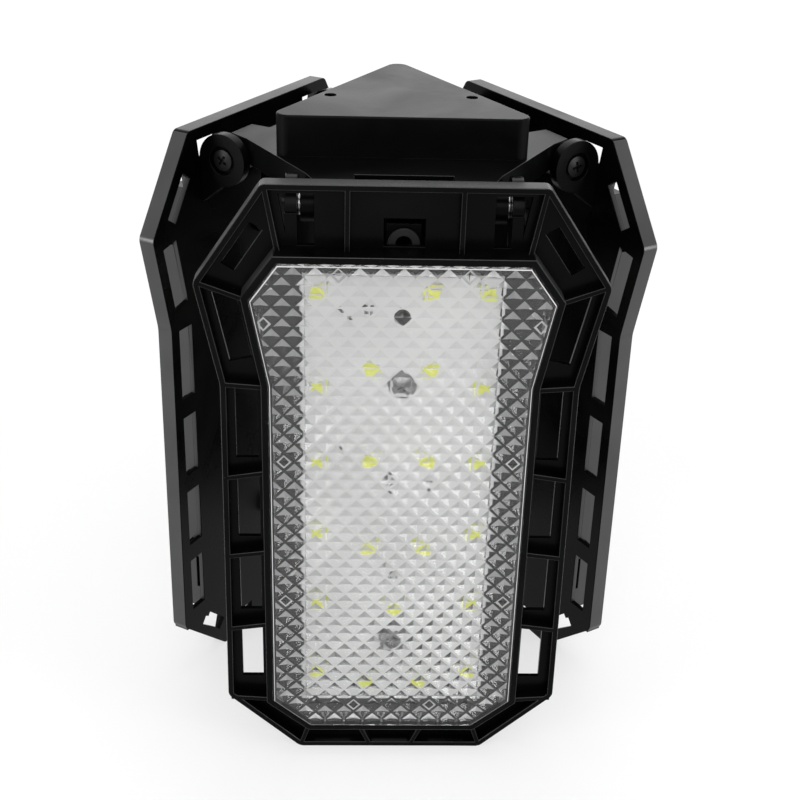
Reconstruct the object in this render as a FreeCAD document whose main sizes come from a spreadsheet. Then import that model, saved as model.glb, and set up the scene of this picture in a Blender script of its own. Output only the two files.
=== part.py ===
import FreeCAD
import Part
import math
import os
import Sketcher

# Deformable garage light: a screw-in hub with three LED panels on friction hinges.
# Origin: tip of the screw base, on the hub's axis, +Z towards the flat lid. The panels hang
# folded, their lenses facing outward, with their feet below the screw base.
# A panel part is drawn in its panel's own frame: x across, y towards the hub end, z outward
# from the front plane of the rim. Panel a faces -Y, b and c are turned by 120 degrees.

DIMENSIONS = {
    # screw base, from the tip upward
    "contact_height": 1.9,
    "contact_radius": 4.8,
    "insulator_height": 4.6,
    "insulator_foot": 6.4,
    "shell_length": 20.0,
    "thread_crest": 13.1,
    "thread_root": 12.2,
    "thread_pitch": 3.63,
    "shell_wall": 0.6,
    "collar_height": 8.0,
    "collar_foot": 14.6,
    "collar_top": 18.6,
    "collar_bore": 9.0,
    "collar_spigot": 3.0,
    # driver housing
    "housing_height": 36.5,
    "housing_radius": 29.5,
    "housing_taper": 11.0,
    "housing_wall": 2.0,
    "board_ledge": 15.0,
    "ledge_width": 2.2,
    "vent_width": 2.2,
    "vent_height": 13.0,
    "vent_foot": 15.0,
    "lug_radius": 3.8,
    "lug_height": 4.0,
    "lug_gap": 0.35,
    "spout_width": 8.2,
    "spout_height": 9.6,
    "spout_reach": 41.0,
    "spout_gap": 0.4,
    "cable_radius": 2.0,
    "grommet_wall": 0.9,
    "grommet_length": 4.0,
    "grommet_lip": 1.0,
    # driver electronics
    "circuit_thickness": 1.6,
    "circuit_gap": 0.3,
    "transformer_length": 17.0,
    "transformer_width": 14.0,
    "transformer_height": 11.5,
    "capacitor_radius": 4.5,
    "capacitor_height": 13.0,
    "rectifier_length": 9.0,
    "rectifier_width": 4.5,
    "rectifier_height": 6.5,
    # hub body and lid
    "hub_height": 6.6,
    "hub_side": 36.6,
    "hub_tip": 39.8,
    "hub_tip_half": 20.9,
    "notch_half": 12.0,
    "notch_depth": 7.1,
    "flare_start": 16.0,
    "hub_wall": 2.0,
    "hub_top": 2.2,
    "tip_chamfer": 1.5,
    "lid_side": 67.6,
    "lid_corner": 3.3,
    "lid_height": 10.4,
    "lid_wall": 2.0,
    "lid_edge": 0.5,
    "lid_screw_x": 18.3,
    "lid_screw_y": 0.7,
    "lid_hole": 1.6,
    "lid_boss": 3.0,
    "lid_web": 1.6,
    "lid_screw_head": 1.45,
    "lid_screw_head_height": 1.4,
    "lid_screw_radius": 0.95,
    "lid_screw_grip": 5.6,
    # housing screws
    "body_screw_radius": 1.5,
    "body_screw_head": 2.75,
    "body_screw_head_height": 2.0,
    "body_screw_grip": 4.0,
    "thread_gap": 0.02,
    "recess_arm": 1.5,
    "recess_width": 0.7,
    "recess_depth": 0.9,
    # hinges
    "hinge_distance": 37.0,
    "hinge_drop": 8.0,
    "barrel_radius": 3.2,
    "knuckle_radius": 4.6,
    "ear_inner": 25.3,
    "ear_width": 2.9,
    "ear_radius": 7.0,
    "ear_foot": 20.0,
    "ear_recess_radius": 3.7,
    "ear_recess_depth": 1.4,
    "washer_thickness": 0.6,
    "washer_radius": 3.0,
    "hinge_play": 0.05,
    "hinge_screw_radius": 1.5,
    "hinge_screw_length": 13.0,
    "hinge_head_radius": 2.75,
    "hinge_head_height": 1.3,
    # panel place and outline
    "rim_distance": 47.9,
    "panel_above_hub": 2.3,
    "rim_top_half": 33.5,
    "rim_shoulder_half": 50.0,
    "rim_shoulder_drop": 24.6,
    "rim_waist_half": 44.3,
    "rim_waist_drop": 51.5,
    "rim_foot_half": 45.0,
    "rim_foot_drop": 147.4,
    "rim_end_half": 25.4,
    "panel_length": 165.4,
    "rim_depth": 4.6,
    "casting_wall": 1.5,
    "rib_thickness": 1.3,
    "tray_wall": 1.8,
    "tray_rise": 3.6,
    # lens outline and section
    "lens_top_half": 29.7,
    "lens_top_drop": 18.4,
    "lens_shoulder_half": 36.3,
    "lens_shoulder_drop": 27.5,
    "lens_waist_half": 32.0,
    "lens_waist_drop": 49.7,
    "lens_foot_half": 32.1,
    "lens_foot_drop": 146.0,
    "lens_end_half": 22.1,
    "lens_end_drop": 154.4,
    "lens_gap": 0.3,
    "lens_rise": 4.3,
    "lens_plate": 2.4,
    "lens_skirt": 1.1,
    "clip_top": 129.5,
    "clip_foot": 139.5,
    "clip_tooth": 1.2,
    "clip_thickness": 1.4,
    "clip_gap": 0.3,
    # LED board and its fixings
    "led_board_half": 24.1,
    "led_board_top": 22.0,
    "led_board_foot": 148.0,
    "led_board_thickness": 1.6,
    "led_length": 3.5,
    "led_width": 2.8,
    "led_height": 0.8,
    "led_outer": 20.4,
    "led_inner": 7.0,
    "board_screw_top": 51.0,
    "board_screw_foot": 128.1,
    "board_screw_offset": 0.9,
    "board_screw_radius": 1.5,
    "board_screw_head": 3.0,
    "board_screw_head_height": 1.6,
    "board_boss_radius": 3.4,
    "board_boss_height": 3.0,
    "board_hole_gap": 0.1,
    "wire_hole_drop": 33.1,
    "panel_grommet_length": 3.0,
    # cut-outs of the back plate
    "slot_inset": 3.3,
    "slot_width": 5.6,
    "slot_narrow": 3.7,
    "slot_lead": 1.2,
    "slot_trail": 4.4,
    "chamfer_slot_lead": 10.2,
    "chamfer_slot_trail": 7.0,
    "top_slot_drop": 3.2,
    "top_slot_foot": 15.9,
    "top_slot_inner": 21.3,
    "top_slot_outer": 29.8,
    "top_slot_slant": 2.2,
    "lead_slot_half": 4.9,
    "lead_slot_drop": 9.0,
    "end_slot_outer": 20.8,
    "end_slot_inner": 10.8,
    "end_slot_half": 5.0,
    # ribs between rim and tray, as drops from the hub end
    "mid_rib": 13.5,
    "end_rib_outer": 5.8,
    "end_rib_inner": 9.8,
    "first_rib_rim": 78.0,
    "first_rib_tray": 76.4,
    "second_rib_rim": 101.7,
    "second_rib_tray": 100.4,
    "third_rib_rim": 124.9,
    "third_rib_tray": 123.5,
}

PANELS = {"a": 0, "b": 120, "c": 240}
X_AXIS = FreeCAD.Vector(1, 0, 0)
Z_AXIS = FreeCAD.Vector(0, 0, 1)
SIN_60 = math.sin(math.radians(60))


class Size:
    # A number with the sheet expression that gives it.
    def __init__(self, value, text):
        self.value = value
        self.text = text

    def __add__(self, other):
        other = as_size(other)
        return Size(self.value + other.value, f"({self.text} + {other.text})")

    def __sub__(self, other):
        other = as_size(other)
        return Size(self.value - other.value, f"({self.text} - {other.text})")

    def __mul__(self, other):
        other = as_size(other)
        return Size(self.value * other.value, f"({self.text} * {other.text})")

    def __truediv__(self, other):
        other = as_size(other)
        return Size(self.value / other.value, f"({self.text} / {other.text})")

    def __neg__(self):
        return Size(-self.value, f"(0 - {self.text})")

    __radd__ = __add__
    __rmul__ = __mul__

    def __rsub__(self, other):
        return as_size(other) - self


def as_size(number):
    if isinstance(number, Size):
        return number
    return Size(float(number), f"({number:.9f})")


class Dimensions:
    # The spreadsheet's cells, each as an attribute that holds a Size.
    def __init__(self, doc):
        sheet = doc.addObject("Spreadsheet::Sheet", "dims")
        for row, (name, value) in enumerate(DIMENSIONS.items(), start=1):
            sheet.set(f"A{row}", name)
            sheet.set(f"B{row}", str(value))
            sheet.setAlias(f"B{row}", name)
            setattr(self, name, Size(value, f"dims.{name}"))


doc = FreeCAD.newDocument("garage_light")
d = Dimensions(doc)
doc.recompute()

# heights above the tip of the screw base
insulator_z = d.contact_height
shell_z = insulator_z + d.insulator_height
collar_z = shell_z + d.shell_length
housing_z = collar_z + d.collar_height
hub_z = housing_z + d.housing_height
lid_z = hub_z + d.hub_height
lid_top_z = lid_z + d.lid_height
panel_z = lid_z + d.panel_above_hub
hinge_z = panel_z - d.hinge_drop

# levels in the panel's own frame
back_w = -d.rim_depth
floor_w = back_w + d.casting_wall
board_w = floor_w + d.led_board_thickness
hinge_w = d.hinge_distance - d.rim_distance
barrel_end = d.ear_inner - d.washer_thickness - d.hinge_play
ear_outer = d.ear_inner + d.ear_width


def bind(obj, name, size):
    size = as_size(size)
    obj.setExpression(name, size.text)


def new_body(label, angle=None):
    body = doc.addObject("PartDesign::Body", label)
    body.Label = label
    body.AllowCompound = True
    if angle is not None:
        radians = math.radians(angle)
        turn = FreeCAD.Rotation(Z_AXIS, angle) * FreeCAD.Rotation(X_AXIS, 90)
        body.Placement = FreeCAD.Placement(FreeCAD.Vector(), turn)
        bind(body, "Placement.Base.x", d.rim_distance * math.sin(radians))
        bind(body, "Placement.Base.y", d.rim_distance * -math.cos(radians))
        bind(body, "Placement.Base.z", panel_z)
    return body


def new_sketch(body, plane, offset):
    sketch = body.newObject("Sketcher::SketchObject", "outline")
    origin_plane = [o for o in body.Origin.OriginFeatures if o.Role == plane][0]
    sketch.AttachmentSupport = [(origin_plane, "")]
    sketch.MapMode = "FlatFace"
    bind(sketch, "AttachmentOffset.Base.z", offset)
    return sketch


def add_polygon(sketch, points):
    points = [(as_size(x), as_size(y)) for x, y in points]
    first = sketch.GeometryCount
    count = len(points)
    corners = [FreeCAD.Vector(x.value, y.value, 0) for x, y in points]
    lines = [Part.LineSegment(corners[i], corners[(i + 1) % count]) for i in range(count)]
    sketch.addGeometry(lines, False)
    joins = []
    for i in range(count):
        joins.append(Sketcher.Constraint("Coincident", first + i, 2, first + (i + 1) % count, 1))
    sketch.addConstraint(joins)
    number = sketch.ConstraintCount
    places = []
    for i, (x, y) in enumerate(points):
        places.append(Sketcher.Constraint("DistanceX", -1, 1, first + i, 1, x.value))
        places.append(Sketcher.Constraint("DistanceY", -1, 1, first + i, 1, y.value))
    sketch.addConstraint(places)
    for i, (x, y) in enumerate(points):
        bind(sketch, f"Constraints[{number + 2 * i}]", x)
        bind(sketch, f"Constraints[{number + 2 * i + 1}]", y)


def add_circle(sketch, x, y, radius):
    x, y, radius = as_size(x), as_size(y), as_size(radius)
    index = sketch.GeometryCount
    centre = FreeCAD.Vector(x.value, y.value, 0)
    sketch.addGeometry(Part.Circle(centre, Z_AXIS, radius.value), False)
    number = sketch.ConstraintCount
    sketch.addConstraint([
        Sketcher.Constraint("Radius", index, radius.value),
        Sketcher.Constraint("DistanceX", -1, 1, index, 3, x.value),
        Sketcher.Constraint("DistanceY", -1, 1, index, 3, y.value),
    ])
    bind(sketch, f"Constraints[{number}]", radius)
    bind(sketch, f"Constraints[{number + 1}]", x)
    bind(sketch, f"Constraints[{number + 2}]", y)


def polygons(body, plane, offset, outlines):
    sketch = new_sketch(body, plane, offset)
    for points in outlines:
        add_polygon(sketch, points)
    return sketch


def circles(body, plane, offset, rounds):
    sketch = new_sketch(body, plane, offset)
    for x, y, radius in rounds:
        add_circle(sketch, x, y, radius)
    return sketch


def pad(body, sketch, length, reverse=False, midplane=False):
    feature = body.newObject("PartDesign::Pad", "Pad")
    feature.Profile = sketch
    feature.Reversed = reverse
    feature.Midplane = midplane
    feature.Refine = False
    bind(feature, "Length", length)
    doc.recompute()
    return feature


def pocket(body, sketch, length, reverse=False, midplane=False):
    before = body.Shape.Volume
    feature = body.newObject("PartDesign::Pocket", "Pocket")
    feature.Profile = sketch
    feature.Reversed = reverse
    feature.Midplane = midplane
    feature.Refine = False
    bind(feature, "Length", length)
    doc.recompute()
    if not body.Shape.Volume < before:
        raise ValueError(f"a pocket in {body.Label} cuts nothing")
    return feature


def revolve(body, points):
    # A profile of (radius, height) points turned about the Z axis.
    sketch = polygons(body, "XZ_Plane", 0, [points])
    feature = body.newObject("PartDesign::Revolution", "Revolution")
    feature.Profile = sketch
    feature.ReferenceAxis = (sketch, ["V_Axis"])
    feature.Angle = 360
    doc.recompute()
    return feature


def repeat(body, features, count):
    pattern = body.newObject("PartDesign::PolarPattern", "PolarPattern")
    pattern.Originals = features
    pattern.Refine = False
    axis = [o for o in body.Origin.OriginFeatures if o.Role == "Z_Axis"][0]
    pattern.Axis = (axis, [""])
    pattern.Angle = 360
    pattern.Occurrences = count
    body.Tip = pattern
    doc.recompute()
    return pattern


def mirror(body, features):
    pattern = body.newObject("PartDesign::Mirrored", "Mirrored")
    pattern.Originals = features
    pattern.Refine = False
    plane = [o for o in body.Origin.OriginFeatures if o.Role == "YZ_Plane"][0]
    pattern.MirrorPlane = (plane, [""])
    body.Tip = pattern
    doc.recompute()
    return pattern


def dress_edges(body, kind, size_name, size, test):
    base = body.Tip
    names = [f"Edge{i + 1}" for i, edge in enumerate(base.Shape.Edges) if test(edge)]
    feature = body.newObject(f"PartDesign::{kind}", kind)
    feature.Base = (base, names)
    bind(feature, size_name, size)
    doc.recompute()
    return feature


def box_points(left, right, low, high):
    return [(left, low), (right, low), (right, high), (left, high)]


def grown(points, gap):
    # The outline moved outward by the gap, with mitred corners. Points run clockwise.
    count = len(points)
    moved = []
    for i, (x, y) in enumerate(points):
        normals = []
        for first, second in ((i - 1, i), (i, (i + 1) % count)):
            along_x = points[second][0].value - points[first][0].value
            along_y = points[second][1].value - points[first][1].value
            length = math.hypot(along_x, along_y)
            normals.append((-along_y / length, along_x / length))
        (ax, ay), (bx, by) = normals
        share = 1 + ax * bx + ay * by
        moved.append((x + gap * ((ax + bx) / share), y + gap * ((ay + by) / share)))
    return moved


def mirrored_outline(half):
    # A whole outline, clockwise, from its right half given from top to bottom.
    return half + [(-x, y) for x, y in reversed(half)]


def cross_points(x, y, arm, width):
    near = width / 2
    steps = [(-near, arm), (near, arm), (near, near), (arm, near), (arm, -near), (near, -near),
             (near, -arm), (-near, -arm), (-near, -near), (-arm, -near), (-arm, near), (-near, near)]
    return [(x + across, y + up) for across, up in steps]


# ---------------------------------------------------------------- screw base

def base_contact():
    body = new_body("base_contact")
    dome = d.contact_height * 0.4
    revolve(body, [(0, 0), (d.contact_radius * 0.6, 0), (d.contact_radius, dome),
                   (d.contact_radius, d.contact_height), (0, d.contact_height)])


def base_insulator():
    body = new_body("base_insulator")
    inner = d.thread_root - d.shell_wall
    revolve(body, [(0, insulator_z), (d.insulator_foot, insulator_z), (inner, shell_z), (0, shell_z)])


def screw_shell():
    # A rolled metal shell: rounded ridges at the pitch of the thread, then a plain band.
    body = new_body("screw_shell")
    turns = 4
    outside = [(d.thread_root, shell_z)]
    for turn in range(turns):
        start = shell_z + d.thread_pitch * (turn + 0.25)
        outside.append((d.thread_root, start))
        outside.append((d.thread_crest, start + d.thread_pitch * 0.28))
        outside.append((d.thread_crest, start + d.thread_pitch * 0.45))
        outside.append((d.thread_root, start + d.thread_pitch * 0.73))
    outside.append((d.thread_root, collar_z))
    inside = d.thread_root - d.shell_wall
    revolve(body, outside + [(inside, collar_z), (inside, shell_z)])


def base_collar():
    # The insulating neck: a spigot in the shell, a cone, and a bore for the two supply wires.
    body = new_body("base_collar")
    spigot = d.thread_root - d.shell_wall
    revolve(body, [(d.collar_bore, collar_z - d.collar_spigot), (spigot, collar_z - d.collar_spigot),
                   (spigot, collar_z), (d.collar_foot, collar_z), (d.collar_top, housing_z),
                   (d.collar_bore, housing_z)])


# ---------------------------------------------------------------- driver housing

ledge_z = housing_z + d.board_ledge
spout_z = hinge_z - d.barrel_radius - d.spout_gap - d.spout_height
cable_z = spout_z + d.spout_height / 2
inner_radius = d.housing_radius - d.housing_wall
ledge_radius = inner_radius - d.ledge_width
grommet_radius = d.cable_radius + d.grommet_wall


def lug_places():
    # The three housing screws stand between the panels, their heads clear of the housing's wall.
    distance = d.housing_radius + d.body_screw_head + d.lug_gap
    places = []
    for angle in (90, 210, 330):
        radians = math.radians(angle)
        places.append((distance * math.cos(radians), distance * math.sin(radians)))
    return places


def driver_housing():
    body = new_body("driver_housing")
    taper_z = housing_z + d.housing_taper
    revolve(body, [(d.collar_bore, housing_z), (d.collar_top, housing_z), (d.housing_radius, taper_z),
                   (d.housing_radius, hub_z), (inner_radius, hub_z), (inner_radius, ledge_z),
                   (ledge_radius, ledge_z), (ledge_radius, taper_z + d.housing_wall / 2),
                   (d.collar_top - d.housing_wall / 2, housing_z + d.housing_wall),
                   (d.collar_bore, housing_z + d.housing_wall)])
    lugs = [(x, y, d.lug_radius) for x, y in lug_places()]
    pad(body, circles(body, "XY_Plane", hub_z - d.lug_height, lugs), d.lug_height)
    spout = box_points(-d.spout_width / 2, d.spout_width / 2, -d.spout_reach, -inner_radius)
    block = pad(body, polygons(body, "XY_Plane", spout_z, [spout]), d.spout_height)
    repeat(body, [block], 3)
    # the mouths of the spouts, where each panel's lead comes out
    mouth = circles(body, "XZ_Plane", ledge_radius, [(0, cable_z, grommet_radius)])
    hole = pocket(body, mouth, d.spout_reach, reverse=True)
    repeat(body, [hole], 3)
    holes = [(x, y, d.body_screw_radius + d.board_hole_gap) for x, y in lug_places()]
    pocket(body, circles(body, "XY_Plane", hub_z, holes), d.lug_height)
    # upright vents round the wall, in three groups between the spouts
    slots = []
    for step in (-18, -6, 6, 18):
        radians = math.radians(30 + step)
        slots.append((radians, step))
    for radians, step in slots:
        side = (math.cos(radians), math.sin(radians))
        corners = []
        for along, across in ((ledge_radius - 1, -0.5), (d.housing_radius + 1, -0.5),
                              (d.housing_radius + 1, 0.5), (ledge_radius - 1, 0.5)):
            reach = d.vent_width * across
            corners.append((along * side[0] - reach * side[1], along * side[1] + reach * side[0]))
        sketch = polygons(body, "XY_Plane", housing_z + d.vent_foot, [corners])
        vent = pocket(body, sketch, d.vent_height, reverse=True)
        repeat(body, [vent], 3)


def driver_board():
    body = new_body("driver_board")
    rim = circles(body, "XY_Plane", ledge_z, [(0, 0, inner_radius - d.circuit_gap)])
    pad(body, rim, d.circuit_thickness)


parts_z = ledge_z + d.circuit_thickness


def driver_block(label, x, y, length, width, height):
    body = new_body(label)
    outline = box_points(x - length / 2, x + length / 2, y - width / 2, y + width / 2)
    pad(body, polygons(body, "XY_Plane", parts_z, [outline]), height)


def driver_capacitors():
    body = new_body("driver_capacitors")
    rounds = [(-d.capacitor_radius * 3, -d.capacitor_radius * 1.2, d.capacitor_radius),
              (d.capacitor_radius * 3, -d.capacitor_radius * 1.2, d.capacitor_radius)]
    pad(body, circles(body, "XY_Plane", parts_z, rounds), d.capacitor_height)


def spout_grommets():
    # Rubber sleeves in the three spouts, with a lip outside.
    body = new_body("spout_grommets")
    sleeve_start = d.spout_reach - d.grommet_length
    rings = [(0, cable_z, grommet_radius), (0, cable_z, d.cable_radius)]
    sleeve = pad(body, circles(body, "XZ_Plane", sleeve_start, rings), d.grommet_length)
    lip = [(0, cable_z, grommet_radius + d.grommet_lip), (0, cable_z, d.cable_radius)]
    flange = pad(body, circles(body, "XZ_Plane", d.spout_reach, lip), d.grommet_lip)
    repeat(body, [sleeve, flange], 3)


# ---------------------------------------------------------------- hub body and lid

TIP_ANGLES = (270, 150, 30)


def hub_outline():
    # A triangle whose points end square, each with a notch between two prongs. The long sides
    # flare a little towards the prongs.
    root = d.hub_tip - d.notch_depth
    tip = [(-d.hub_tip_half, d.hub_tip), (-d.notch_half, d.hub_tip), (-d.notch_half, root),
           (d.notch_half, root), (d.notch_half, d.hub_tip), (d.hub_tip_half, d.hub_tip)]
    side = [(-d.flare_start, d.hub_side), (d.flare_start, d.hub_side)]
    points = []
    for angle in TIP_ANGLES:
        for outline, turn in ((tip, angle), (side, angle - 60)):
            radians = math.radians(turn)
            out_x, out_y = math.cos(radians), math.sin(radians)
            points += [(reach * out_x + across * out_y, reach * out_y - across * out_x)
                       for across, reach in outline]
    return points


def hub_body():
    body = new_body("hub_body")
    outline = hub_outline()
    pad(body, polygons(body, "XY_Plane", hub_z, [outline]), d.hub_height)

    def is_tip_edge(edge):
        middle = edge.CenterOfMass
        on_top = abs(middle.z - lid_z.value) < 1e-4
        turns = [math.radians(angle) for angle in TIP_ANGLES]
        reach = max(middle.x * math.cos(turn) + middle.y * math.sin(turn) for turn in turns)
        return on_top and abs(reach - d.hub_tip.value) < 1e-3

    dress_edges(body, "Chamfer", "Size", d.tip_chamfer, is_tip_edge)
    hollow = polygons(body, "XY_Plane", hub_z, [grown(outline, -d.hub_wall)])
    pocket(body, hollow, d.hub_height - d.hub_top, reverse=True)
    bosses = [(x, y, d.lug_radius) for x, y in lug_places()]
    pad(body, circles(body, "XY_Plane", hub_z, bosses), d.hub_height - d.hub_top)
    lid_bosses = [(side * d.lid_screw_x, d.lid_screw_y, d.lid_boss) for side in (-1, 1)]
    pad(body, circles(body, "XY_Plane", hub_z, lid_bosses), d.hub_height - d.hub_top)
    barrel_place = (-d.hinge_distance, hinge_z, d.barrel_radius)
    barrel = pad(body, circles(body, "YZ_Plane", 0, [barrel_place]), barrel_end * 2, midplane=True)
    # a stouter knuckle on each prong, up to the washer
    place = [(-d.hinge_distance, hinge_z, d.knuckle_radius)]
    length = barrel_end - d.notch_half
    right = pad(body, circles(body, "YZ_Plane", d.notch_half, place), length)
    left = pad(body, circles(body, "YZ_Plane", -d.notch_half, place), length, reverse=True)
    repeat(body, [barrel, right, left], 3)
    # tapped holes: hinge screws from both ends of each barrel, housing screws, lid screws
    bore_place = (-d.hinge_distance, hinge_z, d.hinge_screw_radius + d.thread_gap)
    bore = pocket(body, circles(body, "YZ_Plane", 0, [bore_place]), barrel_end * 2, midplane=True)
    repeat(body, [bore], 3)
    taps = [(x, y, d.body_screw_radius + d.thread_gap) for x, y in lug_places()]
    pocket(body, circles(body, "XY_Plane", hub_z, taps), d.body_screw_grip, reverse=True)
    taps = [(side * d.lid_screw_x, d.lid_screw_y, d.lid_screw_radius + d.thread_gap) for side in (-1, 1)]
    pocket(body, circles(body, "XY_Plane", lid_z, taps), d.lid_screw_grip)


def housing_screws():
    body = new_body("housing_screws")
    seat_z = hub_z - d.lug_height
    shanks = [(x, y, d.body_screw_radius) for x, y in lug_places()]
    heads = [(x, y, d.body_screw_head) for x, y in lug_places()]
    pad(body, circles(body, "XY_Plane", seat_z, shanks), d.lug_height + d.body_screw_grip)
    pad(body, circles(body, "XY_Plane", seat_z, heads), d.body_screw_head_height, reverse=True)
    recess = [cross_points(x, y, d.recess_arm, d.recess_width) for x, y in lug_places()]
    foot = seat_z - d.body_screw_head_height
    pocket(body, polygons(body, "XY_Plane", foot, recess), d.recess_depth, reverse=True)


def lid_outline():
    inradius = d.lid_side / (4 * SIN_60)
    half = d.lid_side / 2
    return [(as_size(0), inradius * 2), (half, -inradius), (-half, -inradius)]


def hub_lid():
    body = new_body("hub_lid")
    outline = lid_outline()
    pad(body, polygons(body, "XY_Plane", lid_z, [outline]), d.lid_height)

    def is_upright(edge):
        low, high = edge.BoundBox.ZMin, edge.BoundBox.ZMax
        return abs(high - low - d.lid_height.value) < 1e-4

    dress_edges(body, "Fillet", "Radius", d.lid_corner, is_upright)

    def is_top(edge):
        return abs(edge.BoundBox.ZMin - lid_top_z.value) < 1e-4

    dress_edges(body, "Fillet", "Radius", d.lid_edge, is_top)
    hollow = polygons(body, "XY_Plane", lid_z, [grown(outline, -d.lid_wall)])
    pocket(body, hollow, d.lid_height - d.lid_wall, reverse=True)
    places = [(side * d.lid_screw_x, d.lid_screw_y) for side in (-1, 1)]
    bosses = [(x, y, d.lid_boss) for x, y in places]
    pad(body, circles(body, "XY_Plane", lid_z, bosses), d.lid_height - d.lid_wall)
    wells = [(x, y, d.lid_hole) for x, y in places]
    pocket(body, circles(body, "XY_Plane", lid_top_z, wells), d.lid_height - d.lid_web)
    holes = [(x, y, d.lid_screw_radius + d.board_hole_gap) for x, y in places]
    pocket(body, circles(body, "XY_Plane", lid_z, holes), d.lid_web, reverse=True)


def lid_screws():
    body = new_body("lid_screws")
    places = [(side * d.lid_screw_x, d.lid_screw_y) for side in (-1, 1)]
    seat_z = lid_z + d.lid_web
    shanks = [(x, y, d.lid_screw_radius) for x, y in places]
    heads = [(x, y, d.lid_screw_head) for x, y in places]
    length = d.lid_web + d.lid_screw_grip
    pad(body, circles(body, "XY_Plane", seat_z, shanks), length, reverse=True)
    pad(body, circles(body, "XY_Plane", seat_z, heads), d.lid_screw_head_height)
    top = seat_z + d.lid_screw_head_height
    recess = [cross_points(x, y, d.lid_screw_radius, d.recess_width / 2) for x, y in places]
    pocket(body, polygons(body, "XY_Plane", top, recess), d.recess_depth)


# ---------------------------------------------------------------- panels

def rim_outline():
    return mirrored_outline([
        (d.rim_top_half, as_size(0)),
        (d.rim_shoulder_half, -d.rim_shoulder_drop),
        (d.rim_waist_half, -d.rim_waist_drop),
        (d.rim_foot_half, -d.rim_foot_drop),
        (d.rim_end_half, -d.panel_length),
    ])


def lens_outline():
    return mirrored_outline([
        (d.lens_top_half, -d.lens_top_drop),
        (d.lens_shoulder_half, -d.lens_shoulder_drop),
        (d.lens_waist_half, -d.lens_waist_drop),
        (d.lens_foot_half, -d.lens_foot_drop),
        (d.lens_end_half, -d.lens_end_drop),
    ])


def screw_places():
    return [(d.board_screw_offset / 2, -d.board_screw_top), (-d.board_screw_offset, -d.board_screw_foot)]


def side_ribs():
    # Drops of the ribs down each long side: at the rim and at the tray.
    return [(d.first_rib_rim, d.first_rib_tray), (d.second_rib_rim, d.second_rib_tray),
            (d.third_rib_rim, d.third_rib_tray)]


def rib_outlines():
    # The ribs of the right half, each a strip from the rim's wall into the tray's wall.
    thick = d.rib_thickness / 2
    inset = d.casting_wall / 2
    tray_side = d.lens_waist_half + d.lens_gap + d.tray_wall / 2
    rim_side = d.rim_waist_half - inset
    across = [
        (d.rim_shoulder_half - inset, d.rim_shoulder_drop, d.lens_shoulder_half + d.lens_gap,
         d.lens_shoulder_drop + d.tray_wall),
        (rim_side, d.rim_waist_drop, tray_side, d.rim_waist_drop + inset),
        (d.rim_foot_half - inset, d.rim_foot_drop + inset, tray_side, d.rim_foot_drop + inset * 2),
    ]
    across += [(rim_side, at_rim, tray_side, at_tray) for at_rim, at_tray in side_ribs()]
    foot = d.panel_length - inset
    tray_top = d.lens_top_drop - d.tray_wall / 2
    tray_end = d.lens_end_drop + d.lens_gap + d.tray_wall / 2
    down = [
        (d.rim_top_half - inset, inset, d.lens_top_half, tray_top),
        (d.mid_rib, inset, d.mid_rib, tray_top),
        (d.rim_end_half - inset / 2, foot, d.lens_end_half, tray_end),
        (d.end_rib_outer, foot, d.end_rib_inner, tray_end),
    ]
    outlines = []
    for rim_x, rim_drop, tray_x, tray_drop in across:
        outlines.append([(rim_x, -rim_drop + thick), (rim_x, -rim_drop - thick),
                         (tray_x, -tray_drop - thick), (tray_x, -tray_drop + thick)])
    for rim_x, rim_drop, tray_x, tray_drop in down:
        outlines.append([(rim_x - thick, -rim_drop), (rim_x + thick, -rim_drop),
                         (tray_x + thick, -tray_drop), (tray_x - thick, -tray_drop)])
    return outlines


def edge_slot(start, end, lead, trail, width):
    # A slot along the rim's edge from start to end, inset from it, clear of the ribs at both ends.
    along_x = end[0].value - start[0].value
    along_y = end[1].value - start[1].value
    length = math.hypot(along_x, along_y)
    along_x, along_y = along_x / length, along_y / length
    points = []
    for corner, reach in ((start, lead), (end, -trail)):
        for inset in (d.slot_inset, d.slot_inset + width):
            x = corner[0] + reach * along_x + inset * along_y
            y = corner[1] + reach * along_y - inset * along_x
            points.append((x, y))
    near, near_inner, far, far_inner = points
    return [near, far, far_inner, near_inner]


def slot_outlines():
    # The cut-outs of the right half's back plate, one in each cell between two ribs.
    rim = rim_outline()
    slots = [
        edge_slot(rim[0], rim[1], d.chamfer_slot_lead, d.chamfer_slot_trail, d.slot_narrow),
        edge_slot(rim[1], rim[2], d.slot_trail, d.slot_trail, d.slot_width),
        edge_slot(rim[3], rim[4], d.chamfer_slot_lead, d.chamfer_slot_trail, d.slot_narrow),
    ]
    stops = [d.rim_waist_drop] + [at_rim for at_rim, at_tray in side_ribs()] + [d.rim_foot_drop]
    outer = d.rim_waist_half - d.slot_inset
    for above, below in zip(stops, stops[1:]):
        slots.append(box_points(outer - d.slot_width, outer, -below + d.slot_trail, -above - d.slot_lead))
    # the opening that the hinge ear stands in, its outer edge along the rib beside it
    slots.append([(d.top_slot_inner, -d.top_slot_foot), (d.top_slot_inner, -d.top_slot_drop),
                  (d.top_slot_outer, -d.top_slot_drop), (d.top_slot_outer - d.top_slot_slant, -d.top_slot_foot)])
    foot = -d.panel_length + d.slot_inset
    slots.append(box_points(d.end_slot_inner, d.end_slot_outer, foot, foot + d.slot_narrow))
    return slots


def middle_slots():
    foot = -d.panel_length + d.slot_inset
    return [box_points(-d.lead_slot_half, d.lead_slot_half, -d.top_slot_foot, -d.lead_slot_drop),
            box_points(-d.end_slot_half, d.end_slot_half, foot, foot + d.slot_narrow)]


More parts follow.
